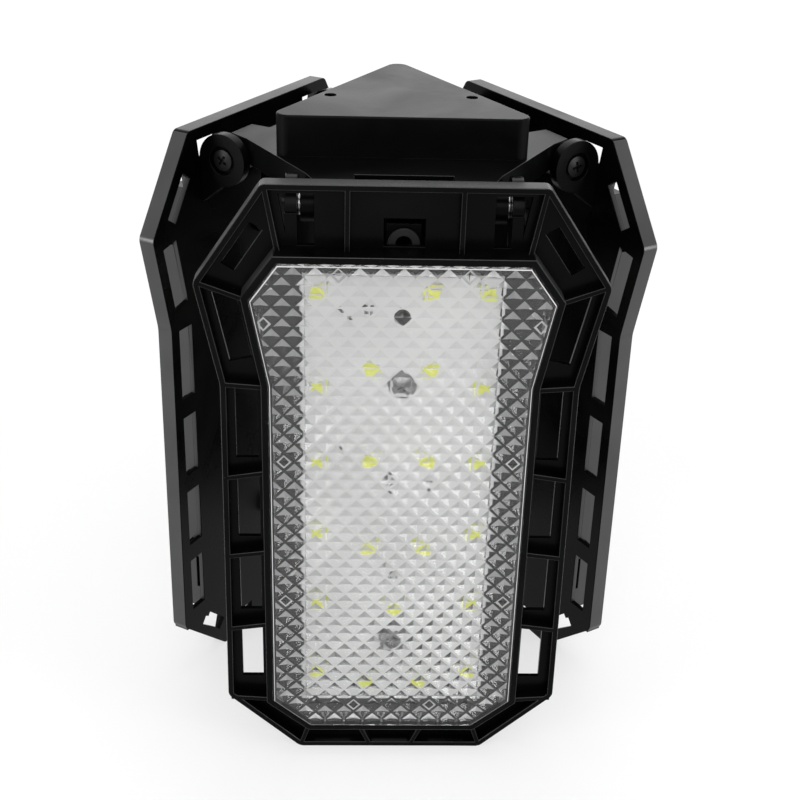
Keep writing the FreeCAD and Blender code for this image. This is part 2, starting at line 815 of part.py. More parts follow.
def panel_frame(name, angle):
    # One casting: back plate, rim, ribs and tray, with the two hinge ears behind.
    body = new_body(f"frame_{name}", angle)
    blank = pad(body, polygons(body, "XY_Plane", back_w, [rim_outline()]), d.rim_depth)
    front = [i for i, face in enumerate(blank.Shape.Faces) if abs(face.CenterOfMass.z) < 1e-6]
    shell = body.newObject("PartDesign::Thickness", "Thickness")
    shell.Base = (blank, [f"Face{front[0] + 1}"])
    shell.Reversed = True
    shell.Join = 1
    bind(shell, "Value", d.casting_wall)
    doc.recompute()
    tray = grown(lens_outline(), d.lens_gap + d.tray_wall)
    pad(body, polygons(body, "XY_Plane", back_w, [tray]), d.rim_depth + d.tray_rise)
    ribs = pad(body, polygons(body, "XY_Plane", back_w, rib_outlines()), d.rim_depth)
    mirror(body, [ribs])
    bosses = [(x, y, d.board_boss_radius) for x, y in screw_places()]
    pad(body, circles(body, "XY_Plane", back_w, bosses), d.board_boss_height, reverse=True)
    # the tray's well, where the board and the lens sit
    well = grown(lens_outline(), d.lens_gap)
    pocket(body, polygons(body, "XY_Plane", d.tray_rise, [well]), d.tray_rise - floor_w)
    slots = pocket(body, polygons(body, "XY_Plane", floor_w, slot_outlines()), d.casting_wall * 2)
    mirror(body, [slots])
    pocket(body, polygons(body, "XY_Plane", floor_w, middle_slots()), d.casting_wall * 2)
    # round ears with a web below, each with a recess outside for the screw's head
    web = [(-d.hinge_drop, floor_w), (-d.hinge_drop, hinge_w), (-d.hinge_drop - d.ear_radius, hinge_w),
           (-d.ear_foot, back_w), (-d.ear_foot, floor_w)]
    recess = [(-d.hinge_drop, hinge_w, d.ear_recess_radius)]
    for start in (d.ear_inner, -ear_outer):
        pad(body, polygons(body, "YZ_Plane", start, [web]), d.ear_width)
        pad(body, circles(body, "YZ_Plane", start, [(-d.hinge_drop, hinge_w, d.ear_radius)]), d.ear_width)
    pocket(body, circles(body, "YZ_Plane", ear_outer, recess), d.ear_recess_depth)
    pocket(body, circles(body, "YZ_Plane", -ear_outer, recess), d.ear_recess_depth, reverse=True)
    bore = circles(body, "YZ_Plane", 0, [(-d.hinge_drop, hinge_w, d.hinge_screw_radius + d.hinge_play)])
    pocket(body, bore, ear_outer * 2 + 1, midplane=True)
    taps = [(x, y, d.board_screw_radius + d.thread_gap) for x, y in screw_places()]
    pocket(body, circles(body, "XY_Plane", floor_w, taps), d.casting_wall + d.board_boss_height)
    lead = circles(body, "XY_Plane", floor_w, [(0, -d.wire_hole_drop, grommet_radius)])
    pocket(body, lead, d.casting_wall)
    # windows in the tray's sides for the lens's snap teeth
    window = box_points(-d.clip_foot - d.clip_gap, -d.clip_top + d.clip_gap,
                        floor_w, floor_w + d.clip_thickness + d.clip_gap)
    reach = d.lens_foot_half + d.lens_gap + d.tray_wall + 1
    pocket(body, polygons(body, "YZ_Plane", 0, [window]), reach * 2, midplane=True)


def panel_lens(name, angle):
    # A clear cover: a thick plate with a skirt that stands on the tray's floor.
    body = new_body(f"lens_{name}", angle)
    outline = lens_outline()
    pad(body, polygons(body, "XY_Plane", floor_w, [outline]), d.lens_rise - floor_w)
    inside = polygons(body, "XY_Plane", floor_w, [grown(outline, -d.lens_skirt)])
    pocket(body, inside, d.lens_rise - d.lens_plate - floor_w, reverse=True)
    teeth = []
    for side in (-1, 1):
        root = (d.lens_foot_half - d.lens_skirt / 2) * side
        point = (d.lens_foot_half + d.lens_gap + d.clip_tooth) * side
        teeth.append(box_points(root, point, -d.clip_foot, -d.clip_top))
    pad(body, polygons(body, "XY_Plane", floor_w, teeth), d.clip_thickness)


def led_board(name, angle):
    body = new_body(f"board_{name}", angle)
    outline = box_points(-d.led_board_half, d.led_board_half, -d.led_board_foot, -d.led_board_top)
    pad(body, polygons(body, "XY_Plane", floor_w, [outline]), d.led_board_thickness)
    holes = [(x, y, d.board_screw_radius + d.board_hole_gap) for x, y in screw_places()]
    holes.append((0, -d.wire_hole_drop, d.cable_radius))
    pocket(body, circles(body, "XY_Plane", board_w, holes), d.led_board_thickness)


def led_places():
    # Six rows from the hub end; the inner pair of a row stands off the outer pair.
    rows = ((26.5, 26.5, (1,)), (52.0, 47.3, (-1, 1)), (73.3, 72.6, (-1, 1)),
            (94.3, 98.8, (-1, 1)), (116.4, 118.1, (0,)), (138.8, 142.8, (-1, 1)))
    unit = d.led_board_foot / DIMENSIONS["led_board_foot"]
    places = []
    for outer_drop, inner_drop, inner_sides in rows:
        places += [(d.led_outer * side, unit * -outer_drop) for side in (-1, 1)]
        places += [(d.led_inner * side, unit * -inner_drop) for side in inner_sides]
    return places


def led_chips(name, angle):
    body = new_body(f"leds_{name}", angle)
    length, width = d.led_length / 2, d.led_width / 2
    chips = [box_points(x - length, x + length, y - width, y + width) for x, y in led_places()]
    pad(body, polygons(body, "XY_Plane", board_w, chips), d.led_height)


def board_screws(name, angle):
    body = new_body(f"board_screws_{name}", angle)
    grip = d.led_board_thickness + d.casting_wall + d.board_boss_height
    shanks = [(x, y, d.board_screw_radius) for x, y in screw_places()]
    heads = [(x, y, d.board_screw_head) for x, y in screw_places()]
    pad(body, circles(body, "XY_Plane", board_w, shanks), grip, reverse=True)
    pad(body, circles(body, "XY_Plane", board_w, heads), d.board_screw_head_height)
    recess = [cross_points(x, y, d.recess_arm, d.recess_width) for x, y in screw_places()]
    top = board_w + d.board_screw_head_height
    pocket(body, polygons(body, "XY_Plane", top, recess), d.recess_depth)


def panel_grommet(name, angle):
    # The rubber sleeve in the back plate that the panel's lead passes through.
    body = new_body(f"grommet_{name}", angle)
    rings = [(0, -d.wire_hole_drop, grommet_radius), (0, -d.wire_hole_drop, d.cable_radius)]
    start = floor_w - d.panel_grommet_length
    pad(body, circles(body, "XY_Plane", start, rings), d.panel_grommet_length)
    lip = [(0, -d.wire_hole_drop, grommet_radius + d.grommet_lip), (0, -d.wire_hole_drop, d.cable_radius)]
    pad(body, circles(body, "XY_Plane", start, lip), back_w - start)


def hinge_screws(name, angle):
    body = new_body(f"hinge_screws_{name}", angle)
    seat = ear_outer - d.ear_recess_depth + d.hinge_play
    axis = (-d.hinge_drop, hinge_w)
    for side in (1, -1):
        inward = side > 0
        shank = circles(body, "YZ_Plane", seat * side, [(*axis, d.hinge_screw_radius)])
        pad(body, shank, d.hinge_screw_length, reverse=inward)
        head = circles(body, "YZ_Plane", seat * side, [(*axis, d.hinge_head_radius)])
        pad(body, head, d.hinge_head_height, reverse=not inward)
        end = (seat + d.hinge_head_height) * side
        recess = cross_points(*axis, d.recess_arm, d.recess_width)
        pocket(body, polygons(body, "YZ_Plane", end, [recess]), d.recess_depth, reverse=not inward)


def hinge_washers(name, angle):
    body = new_body(f"hinge_washers_{name}", angle)
    rings = [(-d.hinge_drop, hinge_w, d.washer_radius),
             (-d.hinge_drop, hinge_w, d.hinge_screw_radius + d.thread_gap)]
    for side in (1, -1):
        face = circles(body, "YZ_Plane", barrel_end * side, rings)
        pad(body, face, d.washer_thickness, reverse=side < 0)


base_contact()
base_insulator()
screw_shell()
base_collar()
driver_housing()
driver_board()
driver_block("driver_transformer", 0, d.transformer_width / 4, d.transformer_length,
             d.transformer_width, d.transformer_height)
driver_block("driver_rectifier", 0, -d.transformer_width * 0.75, d.rectifier_length,
             d.rectifier_width, d.rectifier_height)
driver_capacitors()
spout_grommets()
hub_body()
housing_screws()
hub_lid()
lid_screws()
for panel, turn in PANELS.items():
    panel_frame(panel, turn)
    panel_lens(panel, turn)
    led_board(panel, turn)
    led_chips(panel, turn)
    board_screws(panel, turn)
    panel_grommet(panel, turn)
    hinge_screws(panel, turn)
    hinge_washers(panel, turn)

nodes = [item for item in doc.Objects if item.TypeId == "PartDesign::Body"]
for node in nodes:
    node.Tip.Refine = True
doc.recompute()
os.makedirs("parts", exist_ok=True)
for item in doc.Objects:
    if "Invalid" in item.State or "Error" in item.State:
        raise ValueError(f"{item.Label} in {item.Name} failed: {item.State}")
for node in nodes:
    if node.Shape.isNull() or not node.Shape.isValid():
        raise ValueError(f"{node.Label} has no valid shape")
for node in nodes:
    node.Shape.exportStep(f"parts/{node.Label}.step")
    print(node.Label, len(node.Shape.Solids), round(node.Shape.Volume, 1))
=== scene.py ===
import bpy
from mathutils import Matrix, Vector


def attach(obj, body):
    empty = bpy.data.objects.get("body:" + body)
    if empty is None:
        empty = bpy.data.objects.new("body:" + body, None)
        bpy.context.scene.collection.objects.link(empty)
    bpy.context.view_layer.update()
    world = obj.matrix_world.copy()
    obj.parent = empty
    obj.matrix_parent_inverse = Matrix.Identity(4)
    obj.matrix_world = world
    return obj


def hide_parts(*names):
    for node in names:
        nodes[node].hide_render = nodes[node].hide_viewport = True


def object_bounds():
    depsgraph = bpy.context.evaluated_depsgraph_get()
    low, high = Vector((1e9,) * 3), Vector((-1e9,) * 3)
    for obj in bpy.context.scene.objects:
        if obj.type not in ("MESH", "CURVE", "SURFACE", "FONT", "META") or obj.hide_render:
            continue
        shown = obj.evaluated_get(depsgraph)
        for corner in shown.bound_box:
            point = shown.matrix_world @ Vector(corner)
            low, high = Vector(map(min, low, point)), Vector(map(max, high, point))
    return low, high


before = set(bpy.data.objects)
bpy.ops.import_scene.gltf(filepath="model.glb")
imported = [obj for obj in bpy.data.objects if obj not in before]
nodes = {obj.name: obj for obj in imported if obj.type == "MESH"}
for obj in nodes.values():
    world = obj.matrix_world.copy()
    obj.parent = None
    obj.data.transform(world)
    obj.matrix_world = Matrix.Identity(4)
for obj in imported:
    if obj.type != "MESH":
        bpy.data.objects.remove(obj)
cadBounds = [list(corner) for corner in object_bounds()]

import math
import bmesh
import bpy
from mathutils import Matrix, Vector

# sizes are in mm; a drop is measured down a panel from its hub end
mm = 0.001
touching = 0.001 * mm  # points closer than this are the same
scene = bpy.context.scene
panelTurns = {"a": 0, "b": 120, "c": 240}

# where a panel's own frame sits: x across, y towards the hub end, z outward from the rim's front
panelPlace = {"rimDistance": 47.9, "topHeight": 79.9}


def panelMatrix(panel):
    shift = Matrix.Translation((0, -panelPlace["rimDistance"] * mm, panelPlace["topHeight"] * mm))
    turn = Matrix.Rotation(math.radians(panelTurns[panel]), 4, "Z")
    return turn @ shift @ Matrix.Rotation(math.radians(90), 4, "X")


# ---- camera

view = {
    # degrees, mm and picture pixels
    "azimuth": -2.394,
    "elevation": 27.15,
    "roll": 1.741,
    "distance": 395.63,
    "focalPixels": 1381.58,
    "pictureSize": 800,
    "sensor": 36.0,
    "target": (1.984, 0.0, 0.264),
}


def addCamera():
    azimuth, elevation, roll = (math.radians(view[k]) for k in ("azimuth", "elevation", "roll"))
    level = math.cos(elevation)
    back = Vector((math.sin(azimuth) * level, -math.cos(azimuth) * level, math.sin(elevation)))
    right = Vector((math.cos(azimuth), math.sin(azimuth), 0))
    up = back.cross(right)
    rolledRight = right * math.cos(roll) + up * math.sin(roll)
    rolledUp = up * math.cos(roll) - right * math.sin(roll)
    place = Matrix((rolledRight, rolledUp, back)).transposed().to_4x4()
    place.translation = (Vector(view["target"]) + back * view["distance"]) * mm
    data = bpy.data.cameras.new("camera")
    data.sensor_width = view["sensor"]
    data.lens = view["focalPixels"] * view["sensor"] / view["pictureSize"]
    data.clip_start = 0.01
    camera = bpy.data.objects.new("camera", data)
    camera.matrix_world = place
    scene.collection.objects.link(camera)
    scene.camera = camera


addCamera()
print("camera placed")


# ---- node helpers

def addNode(tree, kind, settings=None, inputs=None, place=(0, 0)):
    made = tree.nodes.new(kind)
    made.location = place
    for key, value in (settings or {}).items():
        setattr(made, key, value)
    for key, value in (inputs or {}).items():
        if isinstance(value, bpy.types.NodeSocket):
            tree.links.new(value, made.inputs[key])
        else:
            made.inputs[key].default_value = value
    return made


def newGroup(name, kind, inputs, outputs):
    tree = bpy.data.node_groups.new(name, kind)
    for socketName, socketKind, value in inputs:
        socket = tree.interface.new_socket(name=socketName, in_out="INPUT", socket_type=socketKind)
        if value is not None:
            socket.default_value = value
    for socketName, socketKind in outputs:
        tree.interface.new_socket(name=socketName, in_out="OUTPUT", socket_type=socketKind)
    given = addNode(tree, "NodeGroupInput", place=(-1200, 0))
    return tree, given, addNode(tree, "NodeGroupOutput", place=(900, 0))


def mathNode(tree, operation, first, second=0.0, clamp=False):
    return addNode(tree, "ShaderNodeMath", {"operation": operation, "use_clamp": clamp},
                   {0: first, 1: second}).outputs[0]


def combined(tree, *parts):
    # a vector socket from its x, y and z
    return addNode(tree, "ShaderNodeCombineXYZ", {}, dict(enumerate(parts))).outputs[0]


# ---- materials

def surfaceGroup():
    # fine grain and broad smudges that every finish draws on
    tree, given, out = newGroup("surfaceGrain", "ShaderNodeTree", [
        ("Grain Scale", "NodeSocketFloat", 900.0),
        ("Smudge Scale", "NodeSocketFloat", 45.0),
    ], [("Height", "NodeSocketFloat"), ("Smudge", "NodeSocketFloat")])
    spot = addNode(tree, "ShaderNodeTexCoord").outputs["Object"]
    grain = addNode(tree, "ShaderNodeTexNoise", {},
                    {"Vector": spot, "Scale": given.outputs["Grain Scale"], "Detail": 3.0})
    smudge = addNode(tree, "ShaderNodeTexNoise", {}, {
        "Vector": spot, "Scale": given.outputs["Smudge Scale"], "Detail": 4.0, "Distortion": 0.6})
    spread = addNode(tree, "ShaderNodeMapRange", {},
                     {"Value": smudge.outputs[0], "From Min": 0.35, "From Max": 0.68}).outputs[0]
    tree.links.new(grain.outputs[0], out.inputs["Height"])
    tree.links.new(spread, out.inputs["Smudge"])
    return tree


surfaceGrain = surfaceGroup()

# dark and light are the two tones that the smudges blend, rough the two roughnesses
finishes = {
    "blackCasting": {"slot": "black_casting",
                     "dark": (0.0008, 0.0008, 0.0009), "light": (0.002, 0.002, 0.0022),
                     "rough": (0.24, 0.34), "specular": 0.055, "grain": 1400, "bump": 0.06},
    # a lighter, glossier copy of the black casting for its rounded edges: a painted highlight
    "castingEdgeHighlight": {"slot": "black_casting",
                    "dark": (0.006, 0.006, 0.0065), "light": (0.014, 0.014, 0.0145),
                    "rough": (0.25, 0.4), "specular": 0.3, "grain": 1400, "bump": 0.04},
    # a copy of the casting for its outer side walls, with a higher specular and a lighter colour that is a
    # painted sheen
    "castingOuterSheen": {"slot": "black_casting", "dark": (0.012, 0.012, 0.013), "light": (0.021, 0.021, 0.022),
                     "rough": (0.3, 0.42), "specular": 0.6, "grain": 1400, "bump": 0.05},
    "lidPlastic": {"slot": "black_plastic",
                   "dark": (0.001, 0.001, 0.0011), "light": (0.0022, 0.0022, 0.0024),
                   "rough": (0.28, 0.38), "specular": 0.04, "grain": 1100, "bump": 0.08},
    "blackScrew": {"slot": "black_screw", "dark": (0.004, 0.004, 0.0045), "light": (0.008, 0.008, 0.009),
                   "rough": (0.3, 0.45), "specular": 0.15, "grain": 1800, "bump": 0.05},
    "steelScrew": {"slot": "steel_screw", "dark": (0.14, 0.14, 0.14), "light": (0.24, 0.24, 0.235),
                   "rough": (0.24, 0.38), "metallic": 1.0, "grain": 1500, "bump": 0.05},
    "steelWasher": {"slot": "steel_washer", "dark": (0.32, 0.32, 0.33), "light": (0.5, 0.5, 0.5),
                    "rough": (0.28, 0.42), "metallic": 1.0, "grain": 1500, "bump": 0.05},
    "nickelShell": {"slot": "nickel_shell", "dark": (0.5, 0.48, 0.44), "light": (0.66, 0.64, 0.6),
                    "rough": (0.16, 0.3), "metallic": 1.0, "grain": 700, "bump": 0.05},
    "brassContact": {"slot": "brass_contact", "dark": (0.45, 0.33, 0.14), "light": (0.6, 0.47, 0.24),
                     "rough": (0.25, 0.4), "metallic": 1.0, "grain": 900, "bump": 0.08},
    "blackGlass": {"slot": "black_insulator", "dark": (0.004, 0.004, 0.005), "light": (0.01, 0.01, 0.012),
                   "rough": (0.08, 0.2), "specular": 0.5, "grain": 500, "bump": 0.03},
    "mattLens": {"slot": "clear_lens", "dark": (0.42, 0.42, 0.42), "light": (0.56, 0.56, 0.56),
                 "rough": (0.45, 0.6), "specular": 0.5, "grain": 1500, "bump": 0.1},
    "neckPlastic": {"slot": "white_plastic", "dark": (0.66, 0.65, 0.62), "light": (0.74, 0.73, 0.7),
                    "rough": (0.34, 0.46), "specular": 0.4, "grain": 1000, "bump": 0.08},
    "boardWhite": {"slot": "white_board", "dark": (0.68, 0.68, 0.675), "light": (0.76, 0.76, 0.755),
                   "rough": (0.3, 0.45), "specular": 0.4, "grain": 700, "bump": 0.05},
    "packageWhite": {"slot": "led_phosphor", "dark": (0.74, 0.75, 0.5), "light": (0.82, 0.83, 0.6),
                     "rough": (0.35, 0.5), "specular": 0.4, "grain": 900, "bump": 0.05},
    "resistorBody": {"slot": "white_board", "dark": (0.05, 0.045, 0.04), "light": (0.1, 0.09, 0.08),
                     "rough": (0.3, 0.45), "specular": 0.4, "grain": 900, "bump": 0.05},
    "tinnedEnd": {"slot": "white_board", "dark": (0.35, 0.35, 0.35), "light": (0.5, 0.5, 0.5),
                  "rough": (0.25, 0.4), "metallic": 1.0, "grain": 900, "bump": 0.05},
    "rubberSleeve": {"slot": "black_rubber", "dark": (0.006, 0.006, 0.006), "light": (0.016, 0.016, 0.016),
                     "rough": (0.6, 0.75), "specular": 0.3, "grain": 900, "bump": 0.15},
    "circuitGreen": {"slot": "circuit_board", "dark": (0.01, 0.09, 0.035), "light": (0.02, 0.15, 0.06),
                     "rough": (0.3, 0.45), "specular": 0.5, "grain": 600, "bump": 0.1},
    "windingTape": {"slot": "transformer_wrap", "dark": (0.62, 0.42, 0.05), "light": (0.75, 0.55, 0.1),
                    "rough": (0.3, 0.45), "specular": 0.5, "grain": 500, "bump": 0.1},
    "capacitorSleeve": {"slot": "capacitor_can", "dark": (0.01, 0.012, 0.03), "light": (0.02, 0.024, 0.05),
                        "rough": (0.25, 0.4), "specular": 0.5, "grain": 700, "bump": 0.05},
}

# every lens finish starts from this one
lensFinish = {"slot": "clear_lens", "dark": (0.955, 0.96, 0.96), "light": (0.985, 0.985, 0.985),
              "grain": 260, "smudge": 60, "bump": 0.05, "bend": 1.49, "clear": 1.0}
finishes.update({
    "clearLens": {**lensFinish, "rough": (0.03, 0.07)},
    "prismLens": {**lensFinish, "rough": (0.09, 0.15)},
    # a whiter, cloudier copy of the lens finish for the facets of one tilt off the board: painted light
    "paintedLitPrism": {**lensFinish, "rough": (0.2, 0.3), "clear": 0.66},
    # a darker copy of the lens finish for the flat grooves over the dark tray: painted shade
    "grooveShadeLens": {**lensFinish, "rough": (0.1, 0.16), "dark": (0.3438, 0.3456, 0.3456),
                   "light": (0.3546, 0.3546, 0.3546)},
    "ledPhosphor": {"slot": "led_phosphor", "dark": (0.72, 0.76, 0.1), "light": (0.8, 0.84, 0.17),
                    "rough": (0.35, 0.35), "grain": 2600, "smudge": 500, "bump": 0.2, "relief": 0.1},
})

# what a recipe leaves out
usualRecipe = {"smudge": 45, "relief": 0.2}

shaderSockets = {"metallic": "Metallic", "specular": "Specular IOR Level", "bend": "IOR",
                 "clear": "Transmission Weight"}


def finishMaterial(name):
    # colour, roughness and relief all follow the same smudges and grain
    recipe = {**usualRecipe, **finishes[name]}
    material = bpy.data.materials.new(name)
    material.use_nodes = True
    tree = material.node_tree
    shader = tree.nodes["Principled BSDF"]
    group = addNode(tree, "ShaderNodeGroup", {"node_tree": surfaceGrain},
                    {"Grain Scale": recipe["grain"], "Smudge Scale": recipe["smudge"]})
    tone = addNode(tree, "ShaderNodeMix", {"data_type": "RGBA"}, {"Factor": group.outputs["Smudge"]})
    tone.inputs[6].default_value = (*recipe["dark"], 1)
    tone.inputs[7].default_value = (*recipe["light"], 1)
    tree.links.new(tone.outputs[2], shader.inputs["Base Color"])
    smooth, coarse = recipe["rough"]
    rough = addNode(tree, "ShaderNodeMapRange", {},
                    {"Value": group.outputs["Smudge"], "To Min": smooth, "To Max": coarse}).outputs[0]
    tree.links.new(rough, shader.inputs["Roughness"])
    bump = addNode(tree, "ShaderNodeBump", {}, {
        "Height": group.outputs["Height"], "Strength": recipe["bump"], "Distance": recipe["relief"] * mm})
    tree.links.new(bump.outputs[0], shader.inputs["Normal"])
    for key, socket in shaderSockets.items():
        if key in recipe:
            shader.inputs[socket].default_value = recipe[key]
    return material


materials = {name: finishMaterial(name) for name in finishes}
print("finishes made:", len(materials))


# ---- pieces from the CAD nodes

def plainMesh(piece):
    # the evaluated mesh takes the place of the modifiers
    graph = bpy.context.evaluated_depsgraph_get()
    made = bpy.data.meshes.new_from_object(piece.evaluated_get(graph), preserve_all_data_layers=True,
                                           depsgraph=graph)
    piece.modifiers.clear()
    return made


def paint(mesh, *names):
    if len(mesh.materials):
        mesh.materials.clear()
    for name in names:
        mesh.materials.append(materials[name])


def addPiece(name, mesh, body, replaced):
    mesh.name = name
    piece = bpy.data.objects.new(name, mesh)
    scene.collection.objects.link(piece)
    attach(piece, body)
    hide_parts(*replaced)


def meshFrom(bm, name):
    mesh = bpy.data.meshes.new(name)
    bm.to_mesh(mesh)
    bm.free()
    return mesh


merging = {"distance": 0.004, "flatAngle": 0.6}


def mergedCopy(nodeName, matrix=None):
    # a CAD mesh with its loose triangles joined and its flat faces made whole
    bm = bmesh.new()
    bm.from_mesh(nodes[nodeName].data)
    bmesh.ops.remove_doubles(bm, verts=bm.verts, dist=merging["distance"] * mm)
    bmesh.ops.dissolve_limit(bm, angle_limit=math.radians(merging["flatAngle"]),
                             verts=bm.verts, edges=bm.edges)
    if matrix is not None:
        bm.transform(matrix)
    return meshFrom(bm, nodeName + "Copy")


# edges sharper than the angle are rounded; blend, flat and large steer the corner normals
rounding = {"angle": 30, "segments": 2, "blend": 50, "flat": 16, "large": 3.0}


def weighConvex(mesh):
    # marks the outer edges alone for the bevel
    bm = bmesh.new()
    bm.from_mesh(mesh)
    weights = bm.edges.layers.float.new("bevel_weight_edge")
    least = math.radians(rounding["angle"])
    for edge in bm.edges:
        if len(edge.link_faces) == 2 and edge.calc_face_angle_signed() > least:
            edge[weights] = 1.0
    bm.to_mesh(mesh)
    bm.free()


def bevelled(mesh, width, clamp=False, finishIndex=-1, convexOnly=False):
    if convexOnly:
        weighConvex(mesh)
    piece = bpy.data.objects.new("bevelling", mesh)
    scene.collection.objects.link(piece)
    for face in mesh.polygons:
        face.use_smooth = True
    bevel = piece.modifiers.new("bevel", "BEVEL")
    bevel.width = width * mm
    bevel.segments = rounding["segments"]
    bevel.limit_method = "WEIGHT" if convexOnly else "ANGLE"
    bevel.angle_limit = math.radians(rounding["angle"])
    bevel.use_clamp_overlap = clamp
    bevel.material = finishIndex
    made = plainMesh(piece)
    bpy.data.objects.remove(piece)
    return settled(made)


def settled(mesh):
    # corner normals follow the larger faces, so flat faces shade flat and edges shade round
    bm = bmesh.new()
    bm.from_mesh(mesh)
    bm.faces.ensure_lookup_table()
    bm.normal_update()
    wide = math.cos(math.radians(rounding["blend"]))
    narrow = math.cos(math.radians(rounding["flat"]))
    large = rounding["large"] * mm * mm
    areas = [face.calc_area() for face in bm.faces]
    corners = []
    for face in bm.faces:
        for loop in face.loops:
            total = Vector()
            for other in loop.vert.link_faces:
                bothLarge = areas[face.index] > large and areas[other.index] > large
                if face.normal.dot(other.normal) > (narrow if bothLarge else wide):
                    total += other.normal * areas[other.index]
            corners.append(total.normalized() if total.length else face.normal.copy())
    bm.free()
    mesh.normals_split_custom_set(corners)
    return mesh


def turned(mesh, matrix):
    made = mesh.copy()
    made.transform(matrix)
    return made


dressedHub = {
    # node, bevel width in mm, finish
    "hubLid": ("hub_lid", 0.3, "lidPlastic"),
    "hubBody": ("hub_body", 0.35, "lidPlastic"),
    "driverHousing": ("driver_housing", 0.3, "lidPlastic"),
    "baseCollar": ("base_collar", 0.3, "neckPlastic"),
    "baseInsulator": ("base_insulator", 0.25, "blackGlass"),
    "baseContact": ("base_contact", 0.25, "brassContact"),
    "spoutGrommets": ("spout_grommets", 0.2, "rubberSleeve"),
    "driverBoard": ("driver_board", 0.15, "circuitGreen"),
    "driverTransformer": ("driver_transformer", 0.5, "windingTape"),
    "driverRectifier": ("driver_rectifier", 0.3, "blackGlass"),
    "driverCapacitors": ("driver_capacitors", 0.5, "capacitorSleeve"),
}

for name, (nodeName, width, finish) in dressedHub.items():
    copied = mergedCopy(nodeName)
    black = finish == "lidPlastic"
    # the black pieces take the lighter edge finish on their rounded edges, a painted highlight
    paint(copied, finish, "castingEdgeHighlight" if black else finish)
    mesh = bevelled(copied, width, clamp=True, finishIndex=1 if black else -1)
    addPiece(name, mesh, "hub", [nodeName])
print("hub pieces dressed")


# ---- panel frames and boards, made once in the panel's own frame and turned to each place

toPanel = panelMatrix("a").inverted()
boardFace = -1.5

rimCorners = {
    "outline": [(33.5, 0.0), (50.0, 24.6), (44.3, 51.5), (45.0, 147.4), (25.4, 165.4)],
    "radius": 1.6,
    "reach": 0.05,
}


def roundCorners(mesh):
    # the casting's outer corners, turned about its depth
    bm = bmesh.new()
    bm.from_mesh(mesh)
    spots = [Vector((x * side, -drop)) * mm for x, drop in rimCorners["outline"] for side in (-1, 1)]
    found = []
    for edge in bm.edges:
        first, second = edge.verts
        upright = (first.co.xy - second.co.xy).length < touching
        near = min((first.co.xy - spot).length for spot in spots)
        if upright and near < rimCorners["reach"] * mm:
            found.append(edge)
    bmesh.ops.bevel(bm, geom=found, offset=rimCorners["radius"] * mm, segments=3, profile=0.5,
                    affect="EDGES", clamp_overlap=True)
    print("rim corners rounded:", len(found))
    return meshFrom(bm, "roundedFrame")


boardParts = {
    "endShare": 0.22,
    "bodyHeight": 0.9,
    # x, drop, across, down, height
    "places": [(-14.9, 31.6, 1.6, 0.8, 0.45), (-12.4, 33.4, 1.6, 0.8, 0.45), (-8.5, 31.6, 1.6, 1.2, 0.5),
               (-0.6, 107.1, 2.0, 1.25, 0.5), (-1.8, 76.4, 1.6, 0.8, 0.4), (-1.8, 79.2, 1.6, 0.8, 0.4),
               (-1.8, 82.0, 1.6, 0.8, 0.4), (8.1, 77.6, 0.8, 1.6, 0.4), (8.1, 81.0, 0.8, 1.6, 0.4),
               (-14.6, 69.2, 0.8, 1.6, 0.4)],
}


def addBoardParts(mesh):
    # resistors, each a dark body between two plain tinned ends
    mesh.materials.append(materials["resistorBody"])
    mesh.materials.append(materials["tinnedEnd"])
    bm = bmesh.new()
    bm.from_mesh(mesh)
    end = boardParts["endShare"]
    for x, drop, across, down, height in boardParts["places"]:
        long = across >= down
        length = max(across, down)
        for low, high, index in ((0.0, end, 2), (end, 1 - end, 1), (1 - end, 1.0, 2)):
            middle = ((low + high) / 2 - 0.5) * length
            size = (high - low) * length
            tall = height if index == 2 else height * boardParts["bodyHeight"]
            shiftX, shiftY = (middle, 0) if long else (0, middle)
            scaleX, scaleY = (size, down) if long else (across, size)
            place = Matrix.Translation(Vector((x + shiftX, shiftY - drop, boardFace + tall / 2)) * mm)
            shape = Matrix.Diagonal((scaleX * mm, scaleY * mm, tall * mm, 1))
            cube = bmesh.ops.create_cube(bm, size=1, matrix=place @ shape)
            for face in {f for v in cube["verts"] for f in v.link_faces}:
                face.material_index = index
    bm.to_mesh(mesh)
    bm.free()


# the painted sheen on the outside walls starts this far from the middle, the painted highlight lines on the
# edges end at this depth
paintedHighlightLimits = {"depth": -2.5, "away": 30.0, "tilt": 0.6}


def paintSheenAndHighlights(mesh):
    # the outside walls get a glossier finish with a painted sheen, and the edges keep their painted
    # highlight lines only near the front
    for face in mesh.polygons:
        side = math.copysign(1, face.center.x)
        away = abs(face.center.x) / mm
        if face.material_index == 1:
            if face.center.z / mm < paintedHighlightLimits["depth"]:
                face.material_index = 0
        elif away > paintedHighlightLimits["away"] and face.normal.x * side > paintedHighlightLimits["tilt"]:
            face.material_index = 2


footSlit = {
    "corners": [(34.9, 149.3), (36.6, 151.4), (28.25, 158.1), (26.5, 155.8)],
    "low": -5.5,
    "high": -2.0,
}


